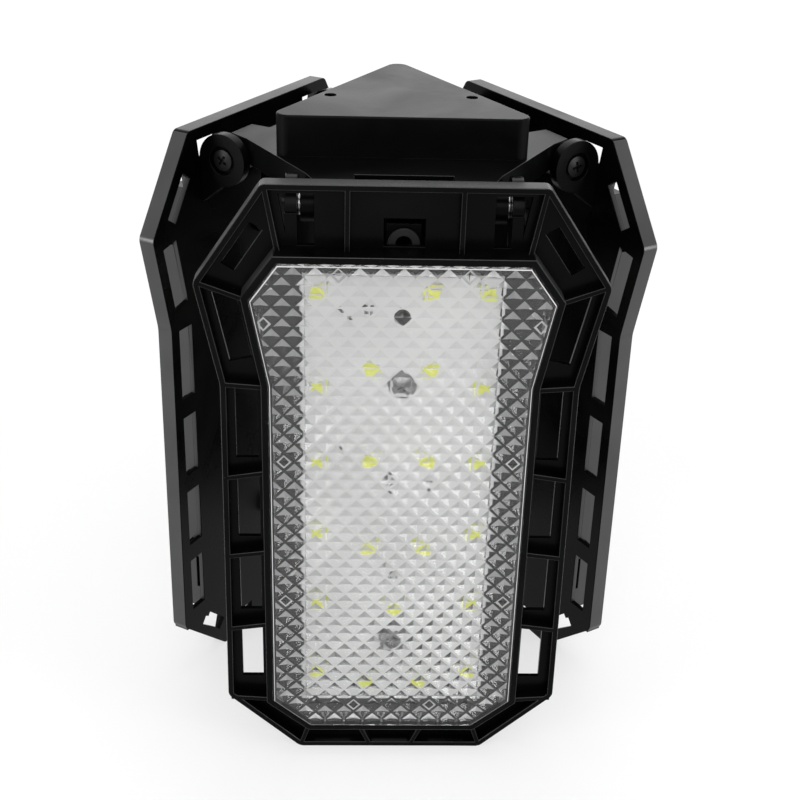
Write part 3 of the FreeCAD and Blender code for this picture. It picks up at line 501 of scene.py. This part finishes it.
def cutSlits(mesh):
    # the narrow slits beside the lens's lower corners
    bm = bmesh.new()
    for side in (-1, 1):
        corners = [(x * side * mm, -drop * mm) for x, drop in footSlit["corners"]]
        if side < 0:
            corners.reverse()
        low = [bm.verts.new((x, y, footSlit["low"] * mm)) for x, y in corners]
        high = [bm.verts.new((x, y, footSlit["high"] * mm)) for x, y in corners]
        bm.faces.new(low)
        bm.faces.new(high)
        for i in range(len(low)):
            j = (i + 1) % len(low)
            bm.faces.new((low[i], low[j], high[j], high[i]))
    bmesh.ops.recalc_face_normals(bm, faces=bm.faces)
    cutter = bpy.data.objects.new("slitCutter", meshFrom(bm, "slitCutter"))
    piece = bpy.data.objects.new("slitting", mesh)
    scene.collection.objects.link(cutter)
    scene.collection.objects.link(piece)
    cut = piece.modifiers.new("cut", "BOOLEAN")
    cut.operation = "DIFFERENCE"
    cut.solver = "EXACT"
    cut.object = cutter
    made = plainMesh(piece)
    bpy.data.objects.remove(piece)
    bpy.data.objects.remove(cutter)
    return made


dressedPanel = {
    # node, bevel width in mm, finish
    "panelFrame": ("frame", 0.17, "blackCasting"),
    "panelBoard": ("board", 0.12, "boardWhite"),
    "panelGrommet": ("grommet", 0.2, "rubberSleeve"),
}

for name, (nodeStem, width, finish) in dressedPanel.items():
    mesh = mergedCopy(nodeStem + "_a", toPanel)
    if name == "panelFrame":
        mesh = cutSlits(roundCorners(mesh))
        # rounded edges take a lighter copy of the casting as a painted highlight, outer walls a glossier,
        # lighter copy as a painted sheen
        paint(mesh, finish, "castingEdgeHighlight", "castingOuterSheen")
        mesh = bevelled(mesh, width, finishIndex=1, convexOnly=True)
        paintSheenAndHighlights(mesh)
    else:
        paint(mesh, finish)
        mesh = bevelled(mesh, width)
    if name == "panelBoard":
        addBoardParts(mesh)
    for panel in panelTurns:
        addPiece(f"{name}_{panel}", turned(mesh, panelMatrix(panel)), f"panel_{panel}",
                 [f"{nodeStem}_{panel}"])
print("panel frames dressed")


# ---- repeated parts: one tree for all screws, one for the LED chips

def treeMesh(tree, values, base=None):
    # the plain mesh that a tree makes from its values
    piece = bpy.data.objects.new("making", base or bpy.data.meshes.new("making"))
    scene.collection.objects.link(piece)
    modifier = piece.modifiers.new(tree.name, "NODES")
    modifier.node_group = tree
    for item in tree.interface.items_tree:
        if item.item_type == "SOCKET" and item.in_out == "INPUT" and item.name in values:
            modifier[item.identifier] = values[item.name]
    made = plainMesh(piece)
    bpy.data.objects.remove(piece)
    return made


def inMetres(sizes):
    return {name: size * mm for name, size in sizes.items()}


def shifted(tree, shape, rise):
    # the shape moved up by rise
    return addNode(tree, "GeometryNodeSetPosition", {},
                   {"Geometry": shape, "Offset": combined(tree, 0.0, 0.0, rise)}).outputs[0]


def box(tree, across, down, height):
    size = combined(tree, across, down, height)
    return addNode(tree, "GeometryNodeMeshCube", {}, {"Size": size}).outputs[0]


def cutAway(tree, whole, part):
    cut = addNode(tree, "GeometryNodeMeshBoolean", {"operation": "DIFFERENCE"}, {"Mesh 1": whole})
    tree.links.new(part, cut.inputs["Mesh 2"])
    return cut.outputs[0]


def joined(tree, *shapes):
    whole = addNode(tree, "GeometryNodeJoinGeometry")
    for shape in shapes:
        tree.links.new(shape, whole.inputs[0])
    return whole.outputs[0]


def painted(tree, shape, finish):
    return addNode(tree, "GeometryNodeSetMaterial", {}, {"Geometry": shape, "Material": finish}).outputs[0]


def smoothed(mesh, angle):
    for face in mesh.polygons:
        face.use_smooth = True
    mesh.set_sharp_from_angle(angle=math.radians(angle))
    return mesh


def pointMesh(places):
    # places in mm: (point, direction, turn in degrees)
    mesh = bpy.data.meshes.new("places")
    mesh.from_pydata([[c * mm for c in point] for point, direction, turn in places], [], [])
    mesh.attributes.new("axis", "FLOAT_VECTOR", "POINT")
    mesh.attributes.new("turn", "FLOAT", "POINT")
    for i, (point, direction, turn) in enumerate(places):
        mesh.attributes["axis"].data[i].vector = direction
        mesh.attributes["turn"].data[i].value = math.radians(turn)
    return mesh


def placeOnPoints(tree, given, shape, out):
    axis = addNode(tree, "GeometryNodeInputNamedAttribute", {"data_type": "FLOAT_VECTOR"}, {"Name": "axis"})
    turn = addNode(tree, "GeometryNodeInputNamedAttribute", {"data_type": "FLOAT"}, {"Name": "turn"})
    upright = addNode(tree, "FunctionNodeAlignRotationToVector", {"axis": "Z"}, {"Vector": axis.outputs[0]})
    spin = addNode(tree, "FunctionNodeAxisAngleToRotation", {},
                   {"Axis": (0, 0, 1), "Angle": turn.outputs[0]})
    both = addNode(tree, "FunctionNodeRotateRotation", {"rotation_space": "LOCAL"},
                   {"Rotation": upright.outputs[0], "Rotate By": spin.outputs[0]})
    instances = addNode(tree, "GeometryNodeInstanceOnPoints", {}, {
        "Points": given.outputs["Geometry"], "Instance": shape, "Rotation": both.outputs[0]})
    real = addNode(tree, "GeometryNodeRealizeInstances", {}, {0: instances.outputs[0]})
    tree.links.new(real.outputs[0], out.inputs[0])


def screwTree():
    # a domed head with a cross recess, seat at z 0, on a plain shank
    tree, given, out = newGroup("crossHeadScrews", "GeometryNodeTree", [
        ("Geometry", "NodeSocketGeometry", None),
        ("Head Radius", "NodeSocketFloat", 0.003),
        ("Head Height", "NodeSocketFloat", 0.002),
        ("Dome", "NodeSocketFloat", 0.0008),
        ("Shank Radius", "NodeSocketFloat", 0.0015),
        ("Shank Length", "NodeSocketFloat", 0.006),
        ("Recess Arm", "NodeSocketFloat", 0.0015),
        ("Recess Width", "NodeSocketFloat", 0.0007),
        ("Recess Depth", "NodeSocketFloat", 0.0009),
        ("Finish", "NodeSocketMaterial", None),
    ], [("Geometry", "NodeSocketGeometry")])
    give = given.outputs
    wall = mathNode(tree, "SUBTRACT", give["Head Height"], give["Dome"])
    head = addNode(tree, "GeometryNodeMeshCylinder", {"fill_type": "TRIANGLE_FAN"},
                   {"Vertices": 32, "Fill Segments": 4, "Radius": give["Head Radius"], "Depth": wall})
    spot = addNode(tree, "GeometryNodeInputPosition").outputs[0]
    parts = addNode(tree, "ShaderNodeSeparateXYZ", {}, {0: spot}).outputs
    away = mathNode(tree, "ADD", mathNode(tree, "MULTIPLY", parts[0], parts[0]),
                    mathNode(tree, "MULTIPLY", parts[1], parts[1]))
    full = mathNode(tree, "MULTIPLY", give["Head Radius"], give["Head Radius"])
    crown = mathNode(tree, "SUBTRACT", 1.0, mathNode(tree, "DIVIDE", away, full), clamp=True)
    onTop = mathNode(tree, "GREATER_THAN", parts[2], 0.0)
    lift = mathNode(tree, "MULTIPLY", mathNode(tree, "MULTIPLY", crown, onTop), give["Dome"])
    lifted = mathNode(tree, "ADD", lift, mathNode(tree, "MULTIPLY", wall, 0.5))
    shape = shifted(tree, head.outputs[0], lifted)
    # the second arm of the cross cuts a little deeper, so no two cut faces lie in one plane
    long = mathNode(tree, "MULTIPLY", give["Recess Arm"], 2.0)
    for across, down, extra in ((long, give["Recess Width"], 2.0), (give["Recess Width"], long, 2.1)):
        deep = mathNode(tree, "MULTIPLY", give["Recess Depth"], extra)
        shape = cutAway(tree, shape, shifted(tree, box(tree, across, down, deep), give["Head Height"]))
    shank = addNode(tree, "GeometryNodeMeshCylinder", {},
                    {"Vertices": 24, "Radius": give["Shank Radius"], "Depth": give["Shank Length"]})
    sunk = mathNode(tree, "MULTIPLY", give["Shank Length"], -0.5)
    whole = joined(tree, shape, shifted(tree, shank.outputs[0], sunk))
    placeOnPoints(tree, given, painted(tree, whole, give["Finish"]), out)
    return tree


screws = screwTree()
screwSizes = ("Head Radius", "Head Height", "Dome", "Shank Radius", "Shank Length",
              "Recess Arm", "Recess Width", "Recess Depth")
screwKinds = {
    # the sizes above, in mm
    "housing": (2.75, 2.0, 0.6, 1.5, 8.0, 1.5, 0.7, 0.9),
    "lid": (1.45, 1.4, 0.3, 0.95, 7.2, 0.95, 0.35, 0.9),
    "hinge": (2.75, 1.3, 0.4, 1.5, 13.0, 1.5, 0.7, 0.9),
    "board": (3.0, 1.6, 0.6, 1.5, 6.1, 1.6, 0.7, 0.9),
}
screwPlaces = {
    "lugDistance": 32.6,
    "lugHeight": 67.0,
    "lugAngles": (90, 210, 330),
    "well": (18.3, 0.7, 79.2),
    # in the panel's own frame
    "ear": (26.85, -8.0, -10.9),
    "boardUpper": (0.45, -51.0, boardFace),
    "boardLower": (-0.9, -128.1, boardFace),
}


def screwMesh(kind, places, finish):
    values = inMetres(dict(zip(screwSizes, screwKinds[kind])))
    values["Finish"] = materials[finish]
    return smoothed(treeMesh(screws, values, pointMesh(places)), 32)


def addScrews():
    # each place is a point, the way the head faces and a turn in degrees, no two turned alike
    reach = screwPlaces["lugDistance"]
    lugs = []
    for i, degrees in enumerate(screwPlaces["lugAngles"]):
        angle = math.radians(degrees)
        point = (reach * math.cos(angle), reach * math.sin(angle), screwPlaces["lugHeight"])
        lugs.append((point, (0, 0, -1), 20 + 30 * i))
    addPiece("housingScrews", screwMesh("housing", lugs, "blackScrew"), "hub",
             ["housing_screws"])
    x, y, z = screwPlaces["well"]
    wells = [((side * x, y, z), (0, 0, 1), 15 + 40 * side) for side in (-1, 1)]
    addPiece("lidScrews", screwMesh("lid", wells, "blackScrew"), "hub", ["lid_screws"])
    x, y, z = screwPlaces["ear"]
    for i, panel in enumerate(panelTurns):
        matrix = panelMatrix(panel)
        ears = [((side * x, y, z), (side, 0, 0), 25 + 50 * side + 35 * i) for side in (-1, 1)]
        mesh = turned(screwMesh("hinge", ears, "blackScrew"), matrix)
        addPiece(f"hingeScrews_{panel}", mesh, "hub", [f"hinge_screws_{panel}"])
        seats = [(screwPlaces["boardUpper"], (0, 0, 1), 30 + 25 * i),
                 (screwPlaces["boardLower"], (0, 0, 1), 45 + 40 * i)]
        mesh = turned(screwMesh("board", seats, "steelScrew"), matrix)
        addPiece(f"boardScrews_{panel}", mesh, f"panel_{panel}", [f"board_screws_{panel}"])


addScrews()
print("screws made")

chip = {
    "across": 3.5,
    "down": 2.8,
    "height": 0.8,
    "wall": 0.2,
    "windowDepth": 0.1,
    "outer": 20.4,
    "inner": 7.0,
    # drop of the outer pair, drop of the inner chips, sides that have an inner chip
    "rows": [(26.5, 26.5, (1,)), (52.0, 47.3, (-1, 1)), (73.3, 72.6, (-1, 1)),
             (94.3, 98.8, (-1, 1)), (116.4, 118.1, (0,)), (138.8, 142.8, (-1, 1))],
}


def chipTree():
    # a white package with a phosphor window let into its face
    tree, given, out = newGroup("ledChips", "GeometryNodeTree", [
        ("Geometry", "NodeSocketGeometry", None),
        ("Across", "NodeSocketFloat", 0.0035),
        ("Down", "NodeSocketFloat", 0.0028),
        ("Height", "NodeSocketFloat", 0.0008),
        ("Wall", "NodeSocketFloat", 0.0003),
        ("Window Depth", "NodeSocketFloat", 0.00014),
        ("Package", "NodeSocketMaterial", None),
        ("Phosphor", "NodeSocketMaterial", None),
    ], [("Geometry", "NodeSocketGeometry")])
    give = given.outputs
    twoWalls = mathNode(tree, "MULTIPLY", give["Wall"], 2.0)
    innerAcross = mathNode(tree, "SUBTRACT", give["Across"], twoWalls)
    innerDown = mathNode(tree, "SUBTRACT", give["Down"], twoWalls)
    half = mathNode(tree, "MULTIPLY", give["Height"], 0.5)
    body = shifted(tree, box(tree, give["Across"], give["Down"], give["Height"]), half)
    well = shifted(tree, box(tree, innerAcross, innerDown, give["Height"]), give["Height"])
    case = painted(tree, cutAway(tree, body, well), give["Package"])
    # the phosphor fills the upper part of the package, up to the window
    fillHeight = mathNode(tree, "SUBTRACT", give["Height"], give["Window Depth"])
    fill = shifted(tree, box(tree, innerAcross, innerDown, mathNode(tree, "MULTIPLY", fillHeight, 0.6)),
                   mathNode(tree, "MULTIPLY", fillHeight, 0.7))
    placeOnPoints(tree, given, joined(tree, case, painted(tree, fill, give["Phosphor"])), out)
    return tree


def addChips():
    places = []
    for outerDrop, innerDrop, sides in chip["rows"]:
        places += [(chip["outer"] * side, outerDrop) for side in (-1, 1)]
        places += [(chip["inner"] * side, innerDrop) for side in sides]
    points = pointMesh([((x, -drop, boardFace), (0, 0, 1), 0) for x, drop in places])
    values = inMetres({"Across": chip["across"], "Down": chip["down"], "Height": chip["height"],
                       "Wall": chip["wall"], "Window Depth": chip["windowDepth"]})
    values["Package"] = materials["packageWhite"]
    values["Phosphor"] = materials["ledPhosphor"]
    mesh = treeMesh(chipTree(), values, points)
    for panel in panelTurns:
        addPiece(f"ledChips_{panel}", turned(mesh, panelMatrix(panel)), f"panel_{panel}",
                 [f"leds_{panel}"])


addChips()
print("LED chips made")


# ---- screw base

thread = {
    "low": 6.5,
    "length": 20.0,
    "threaded": 15.4,
    "root": 12.25,
    "crest": 13.1,
    "pitch": 3.63,
    "lead": 1.6,
    "wall": 0.5,
}


def threadTree():
    # a rolled round thread on a tube, running out at both ends
    tree, given, out = newGroup("rolledThread", "GeometryNodeTree", [
        ("Geometry", "NodeSocketGeometry", None),
        ("Low", "NodeSocketFloat", 0.0065),
        ("Length", "NodeSocketFloat", 0.02),
        ("Threaded", "NodeSocketFloat", 0.0154),
        ("Root", "NodeSocketFloat", 0.01225),
        ("Crest", "NodeSocketFloat", 0.0131),
        ("Pitch", "NodeSocketFloat", 0.00363),
        ("Lead", "NodeSocketFloat", 0.0016),
        ("Finish", "NodeSocketMaterial", None),
    ], [("Geometry", "NodeSocketGeometry")])
    give = given.outputs
    grid = addNode(tree, "GeometryNodeMeshGrid", {},
                   {"Size X": 1.0, "Size Y": 1.0, "Vertices X": 97, "Vertices Y": 121})
    spot = addNode(tree, "GeometryNodeInputPosition").outputs[0]
    parts = addNode(tree, "ShaderNodeSeparateXYZ", {}, {0: spot}).outputs
    turnShare = mathNode(tree, "ADD", parts[0], 0.5)
    rise = mathNode(tree, "MULTIPLY", mathNode(tree, "ADD", parts[1], 0.5), give["Length"])
    angle = mathNode(tree, "MULTIPLY", turnShare, math.tau)
    phase = mathNode(tree, "SUBTRACT", mathNode(tree, "DIVIDE", rise, give["Pitch"]), turnShare)
    wave = mathNode(tree, "COSINE", mathNode(tree, "MULTIPLY", phase, math.tau))
    ridge = mathNode(tree, "ADD", mathNode(tree, "MULTIPLY", wave, 0.5), 0.5)
    start = mathNode(tree, "DIVIDE", rise, give["Lead"], clamp=True)
    left = mathNode(tree, "SUBTRACT", give["Threaded"], rise)
    end = mathNode(tree, "DIVIDE", left, give["Lead"], clamp=True)
    share = mathNode(tree, "MULTIPLY", mathNode(tree, "MULTIPLY", ridge, start), end)
    height = mathNode(tree, "SUBTRACT", give["Crest"], give["Root"])
    radius = mathNode(tree, "ADD", give["Root"], mathNode(tree, "MULTIPLY", share, height))
    place = combined(tree, mathNode(tree, "MULTIPLY", radius, mathNode(tree, "COSINE", angle)),
                     mathNode(tree, "MULTIPLY", radius, mathNode(tree, "SINE", angle)),
                     mathNode(tree, "ADD", rise, give["Low"]))
    rolled = addNode(tree, "GeometryNodeSetPosition", {}, {"Geometry": grid.outputs[0], "Position": place})
    seamed = addNode(tree, "GeometryNodeMergeByDistance", {},
                     {"Geometry": rolled.outputs[0], "Distance": touching})
    tree.links.new(painted(tree, seamed.outputs[0], give["Finish"]), out.inputs[0])
    return tree


def addShell():
    values = inMetres({"Low": thread["low"], "Length": thread["length"], "Threaded": thread["threaded"],
                       "Root": thread["root"], "Crest": thread["crest"], "Pitch": thread["pitch"],
                       "Lead": thread["lead"]})
    values["Finish"] = materials["nickelShell"]
    sheet = treeMesh(threadTree(), values)
    bm = bmesh.new()
    bm.from_mesh(sheet)
    bmesh.ops.recalc_face_normals(bm, faces=bm.faces)
    sheet = meshFrom(bm, "shellSheet")
    sheet.materials.append(materials["nickelShell"])
    piece = bpy.data.objects.new("shellSheet", sheet)
    scene.collection.objects.link(piece)
    thick = piece.modifiers.new("wall", "SOLIDIFY")
    thick.thickness = thread["wall"] * mm
    thick.offset = -1
    made = plainMesh(piece)
    bpy.data.objects.remove(piece)
    addPiece("screwShell", smoothed(made, 60), "hub", ["screw_shell"])


addShell()
print("screw shell made")

for panel in panelTurns:
    mesh = bevelled(mergedCopy(f"hinge_washers_{panel}"), 0.12)
    paint(mesh, "steelWasher")
    addPiece(f"hingeWashers_{panel}", mesh, "hub", [f"hinge_washers_{panel}"])


# ---- lens

lens = {
    "outline": [(29.7, 18.4), (36.3, 27.5), (32.0, 49.7), (32.1, 146.0), (22.1, 154.4)],
    "face": 4.3,
    "foot": -3.1,
    "edge": 0.22,
    "skirt": 0.6,
    "prismBase": 2.4,
    "prismDepth": 0.6,
    "cellAcross": 2.61,
    "cellDown": 2.64,
    "firstRow": 26.3,
    "groove": 0.09,
    "boardArea": (-22.5, 22.5, -148.0, -22.0),
    "rowsAbove": 4,
    "flatTilt": 0.999,
    "grooveSlack": 0.01,
    "padSize": 1.9,
    "padReach": 7.35,
    "padRing": 0.5,
    "padDepth": 0.1,
    "pads": [(15.5, 20.9), (33.2, 33.6), (28.71, 71.2), (28.71, 113.4), (10.44, 147.9)],
}


def wholeOutline(half):
    # both sides of the outline, clockwise seen from the front
    points = [(x, -drop) for x, drop in half]
    return points + [(-x, y) for x, y in reversed(points)]


def inset(points, gap):
    # the clockwise outline moved inward with mitred corners
    count = len(points)
    moved = []
    for i, (x, y) in enumerate(points):
        normals = []
        for first, second in ((i - 1, i), (i, (i + 1) % count)):
            alongX = points[second][0] - points[first][0]
            alongY = points[second][1] - points[first][1]
            length = math.hypot(alongX, alongY)
            normals.append((-alongY / length, alongX / length))
        (ax, ay), (bx, by) = normals
        share = 1 + ax * bx + ay * by
        moved.append((x - gap * (ax + bx) / share, y - gap * (ay + by) / share))
    return moved


def cutLine(bm, geom, point, normal):
    bmesh.ops.bisect_plane(bm, geom=geom, dist=touching / 10, plane_co=point, plane_no=normal)


def prismSheet(outline):
    # the lens's inner face, cut along every crease that its prisms will have
    bm = bmesh.new()
    corners = [bm.verts.new((x * mm, y * mm, lens["prismBase"] * mm)) for x, y in outline]
    bm.faces.new(corners)
    across, down = lens["cellAcross"] * mm, lens["cellDown"] * mm
    start = -lens["firstRow"] * mm
    highX = max(x for x, y in outline) * mm
    lowY = min(y for x, y in outline) * mm
    columns = int(highX / across) + 1
    rows = int((start - lowY) / down) + 2
    lines = [((k * across, 0, 0), (1, 0, 0)) for k in range(-columns, columns + 1)]
    lines += [((0, start - m * down, 0), (0, 1, 0)) for m in range(-lens["rowsAbove"], rows)]
    for sign in (1, -1):
        for step in range(-columns - rows, columns + rows):
            for side in (-1, 1):
                offset = (step + 0.5 + side * lens["groove"]) * 2
                lines.append(((0, start - offset * down, 0), (sign / across, 1 / down, 0)))
    for point, normal in lines:
        cutLine(bm, bm.verts[:] + bm.edges[:] + bm.faces[:], point, Vector(normal).normalized())
    return bm


def cutPad(bm, corners):
    # one whole face for a flat pad, cut out of the prisms within reach of it
    middle = sum((Vector((x, y)) for x, y in corners), Vector((0, 0))) / len(corners) * mm
    sides = list(zip(corners, corners[1:] + corners[:1]))
    for (x, y), (nextX, nextY) in sides:
        along = Vector((nextX - x, nextY - y, 0)).normalized()
        near = [f for f in bm.faces if (f.calc_center_median().xy - middle).length < lens["padReach"] * mm]
        # kept in order, so that each run gives the same mesh
        nearVerts = list(dict.fromkeys(v for f in near for v in f.verts))
        nearEdges = list(dict.fromkeys(e for f in near for e in f.edges))
        cutLine(bm, nearVerts + nearEdges + near, (x * mm, y * mm, 0), along.cross(Vector((0, 0, 1))))
    inside = []
    for face in bm.faces:
        spot = face.calc_center_median() / mm
        turns = [(nextX - x) * (spot.y - y) - (nextY - y) * (spot.x - x) for (x, y), (nextX, nextY) in sides]
        if max(turns) <= 0:
            inside.append(face)
    return bmesh.ops.dissolve_faces(bm, faces=inside)["region"]


lensFinishes = ("clearLens", "mattLens", "prismLens", "paintedLitPrism", "grooveShadeLens")


def lensSheet(inner):
    # the sheet with its pads let in; pads are clockwise diamonds, as the outline is
    bm = prismSheet(inner)
    size = lens["padSize"]
    pads = []
    for x, drop in lens["pads"]:
        for side in (1, -1):
            cx, cy = x * side, -drop
            pads += cutPad(bm, [(cx, cy + size), (cx + size, cy), (cx, cy - size), (cx - size, cy)])
    raises = bm.verts.layers.float.new("prism")
    for vert in bm.verts:
        vert[raises] = 1.0
    for vert in {v for f in pads for v in f.verts}:
        vert[raises] = 0.0
    rings = bmesh.ops.inset_individual(bm, faces=pads, thickness=lens["padRing"] * mm)["faces"]
    for face in rings:
        face.material_index = lensFinishes.index("mattLens")
    for face in pads:
        for vert in face.verts:
            vert[raises] = 0.0
            vert.co.z -= lens["padDepth"] * mm
    mesh = meshFrom(bm, "prismSheet")
    paint(mesh, *lensFinishes)
    return mesh


def prismTree():
    # raises each cell of the sheet to a four-sided point
    tree, given, out = newGroup("lensPrisms", "GeometryNodeTree", [
        ("Geometry", "NodeSocketGeometry", None),
        ("Cell Across", "NodeSocketFloat", 0.00261),
        ("Cell Down", "NodeSocketFloat", 0.00264),
        ("First Row", "NodeSocketFloat", 0.0263),
        ("Groove", "NodeSocketFloat", 0.07),
        ("Depth", "NodeSocketFloat", 0.00115),
    ], [("Geometry", "NodeSocketGeometry")])
    spot = addNode(tree, "GeometryNodeInputPosition").outputs[0]
    parts = addNode(tree, "ShaderNodeSeparateXYZ", {}, {0: spot}).outputs
    across = mathNode(tree, "DIVIDE", parts[0], given.outputs["Cell Across"])
    dropped = mathNode(tree, "ADD", parts[1], given.outputs["First Row"])
    down = mathNode(tree, "DIVIDE", dropped, given.outputs["Cell Down"])
    strays = []
    for operation in ("ADD", "SUBTRACT"):
        cell = mathNode(tree, "MULTIPLY", mathNode(tree, operation, across, down), 0.5)
        nearest = mathNode(tree, "ROUND", cell)
        strays.append(mathNode(tree, "ABSOLUTE", mathNode(tree, "SUBTRACT", cell, nearest)))
    farthest = mathNode(tree, "MAXIMUM", strays[0], strays[1])
    half = mathNode(tree, "SUBTRACT", 0.5, given.outputs["Groove"])
    share = mathNode(tree, "SUBTRACT", 1.0, mathNode(tree, "DIVIDE", farthest, half), clamp=True)
    mask = addNode(tree, "GeometryNodeInputNamedAttribute", {"data_type": "FLOAT"},
                   {"Name": "prism"}).outputs[0]
    height = mathNode(tree, "MULTIPLY", mathNode(tree, "MULTIPLY", share, mask), given.outputs["Depth"])
    sunk = mathNode(tree, "MULTIPLY", height, -1.0)
    tree.links.new(shifted(tree, given.outputs["Geometry"], sunk), out.inputs[0])
    return tree


def prismFinish(face):
    # off the board the lens stands over the dark tray, where its facets and grooves show; there the flat
    # grooves take a darker copy of the finish as painted shade, and the facets of one tilt a whiter,
    # cloudier copy as painted light
    spot = face.calc_center_median() / mm
    flat = abs(face.normal.z) > lens["flatTilt"]
    left, right, low, high = lens["boardArea"]
    if left < spot.x < right and low < spot.y < high:
        return "clearLens" if flat else "prismLens"
    if flat:
        # flat faces at the groove level take the darker groove finish, a painted shade
        return "grooveShadeLens" if spot.z > lens["prismBase"] - lens["grooveSlack"] else "clearLens"
    return "prismLens" if face.normal.y * face.normal.z > 0 else "paintedLitPrism"


def footVerts(feet, start, end):
    # the feet of the inner wall that stand on one side of the outline, in order
    start, along = Vector(start) * mm, (Vector(end) - Vector(start)) * mm
    found = []
    for vert in feet:
        apart = vert.co.xy - start
        share = apart.dot(along) / along.length_squared
        slack = touching / along.length
        if -slack < share < 1 + slack and (apart - along * share).length < touching:
            found.append((share, vert))
    return [vert for share, vert in sorted(found, key=lambda pair: pair[0])]


def lensMesh():
    outline = wholeOutline(lens["outline"])
    inner = inset(outline, lens["skirt"])
    values = inMetres({"Cell Across": lens["cellAcross"], "Cell Down": lens["cellDown"],
                       "First Row": lens["firstRow"], "Depth": lens["prismDepth"]})
    values["Groove"] = lens["groove"]
    pressed = treeMesh(prismTree(), values, lensSheet(inner))
    bm = bmesh.new()
    bm.from_mesh(pressed)
    for face in bm.faces:
        face.normal_update()
        if face.material_index == 0:
            face.material_index = lensFinishes.index(prismFinish(face))
    # the sheet is closed by an inner wall, a foot, an outer wall, an edge and the face
    border = [e for e in bm.edges if e.is_boundary]
    walls = bmesh.ops.extrude_edge_only(bm, edges=border)["geom"]
    feet = [g for g in walls if isinstance(g, bmesh.types.BMVert)]
    for vert in feet:
        vert.co.z = lens["foot"] * mm
    levels = [(outline, lens["foot"]), (outline, lens["face"] - lens["edge"]),
              (inset(outline, lens["edge"]), lens["face"])]
    rings = [[bm.verts.new((x * mm, y * mm, z * mm)) for x, y in points] for points, z in levels]
    for lower, upper in zip(rings, rings[1:]):
        finish = "mattLens" if upper is rings[-1] else "clearLens"
        for i in range(len(lower)):
            j = (i + 1) % len(lower)
            wall = bm.faces.new((lower[i], lower[j], upper[j], upper[i]))
            wall.material_index = lensFinishes.index(finish)
    bm.faces.new(rings[-1])
    for i, corner in enumerate(inner):
        j = (i + 1) % len(inner)
        bm.faces.new([rings[0][j], rings[0][i]] + footVerts(feet, corner, inner[j]))
    bmesh.ops.recalc_face_normals(bm, faces=bm.faces)
    openEdges = sum(1 for e in bm.edges if not e.is_manifold)
    print("lens faces", len(bm.faces), "open edges", openEdges)
    mesh = meshFrom(bm, "lensMesh")
    paint(mesh, *lensFinishes)
    return mesh


lensShape = lensMesh()
for panel in panelTurns:
    addPiece(f"panelLens_{panel}", turned(lensShape, panelMatrix(panel)), f"panel_{panel}",
             [f"lens_{panel}"])
print("lenses made")


# ---- floor, world and lamps

stage = {
    # glow and worldLight are strengths, floorReach is in metres
    "glow": 0.62,
    "worldLight": 0.5,
    "glassShare": 0.5,
    "floorTone": 0.86,
    "floorReach": 4.0,
}


def whiteRays(tree):
    # 1 for what the camera sees straight, in a gloss or through glass
    path = addNode(tree, "ShaderNodeLightPath")
    seen = mathNode(tree, "MAXIMUM", path.outputs["Is Camera Ray"], path.outputs["Is Glossy Ray"])
    through = mathNode(tree, "MULTIPLY", path.outputs["Is Transmission Ray"], stage["glassShare"])
    return mathNode(tree, "MAXIMUM", seen, through)


def addFloor():
    low = cadBounds[0][2]
    reach = stage["floorReach"]
    mesh = bpy.data.meshes.new("floor")
    corners = [(x * reach, y * reach, low) for x, y in ((-1, -1), (1, -1), (1, 1), (-1, 1))]
    mesh.from_pydata(corners, [], [(0, 1, 2, 3)])
    floor = bpy.data.objects.new("floor", mesh)
    scene.collection.objects.link(floor)
    material = bpy.data.materials.new("paleFloor")
    material.use_nodes = True
    tree = material.node_tree
    shader = tree.nodes["Principled BSDF"]
    tone = stage["floorTone"]
    shader.inputs["Base Color"].default_value = (tone, tone, tone, 1)
    shader.inputs["Roughness"].default_value = 0.8
    shader.inputs["Specular IOR Level"].default_value = 0.0
    glow = addNode(tree, "ShaderNodeEmission", {}, {"Color": (1, 1, 1, 1), "Strength": 1.0})
    share = mathNode(tree, "MULTIPLY", whiteRays(tree), stage["glow"])
    mixed = addNode(tree, "ShaderNodeMixShader", {}, {0: share, 1: shader.outputs[0], 2: glow.outputs[0]})
    tree.links.new(mixed.outputs[0], tree.nodes["Material Output"].inputs["Surface"])
    mesh.materials.append(material)


def addWorld():
    world = bpy.data.worlds.new("studio")
    scene.world = world
    world.use_nodes = True
    tree = world.node_tree
    background = tree.nodes["Background"]
    background.inputs["Color"].default_value = (1, 1, 1, 1)
    strength = addNode(tree, "ShaderNodeMapRange", {},
                       {"Value": whiteRays(tree), "To Min": stage["worldLight"], "To Max": 1.0})
    tree.links.new(strength.outputs[0], background.inputs["Strength"])


lamps = {
    # place and size in metres, power in watts
    "topSoft": ((0.1, -0.1, 0.95), 0.7, 3.6),
    "frontSoft": ((-0.1, -0.95, 0.6), 0.7, 4.5),
    "leftSoft": ((-0.9, -0.5, 0.12), 0.4, 4.2),
    "rightSoft": ((0.9, -0.5, 0.12), 0.4, 4.2),
    "backSoft": ((0.0, 1.0, 0.5), 1.2, 6.5),
}


def addLamps():
    for name, (place, size, power) in lamps.items():
        data = bpy.data.lights.new(name, "AREA")
        data.size = size
        data.energy = power
        lamp = bpy.data.objects.new(name, data)
        lamp.location = place
        lamp.rotation_mode = "QUATERNION"
        lamp.rotation_quaternion = (-Vector(place)).to_track_quat("-Z", "Y")
        scene.collection.objects.link(lamp)


addFloor()
addWorld()
addLamps()
scene.view_settings.view_transform = "Standard"
print("stage set")
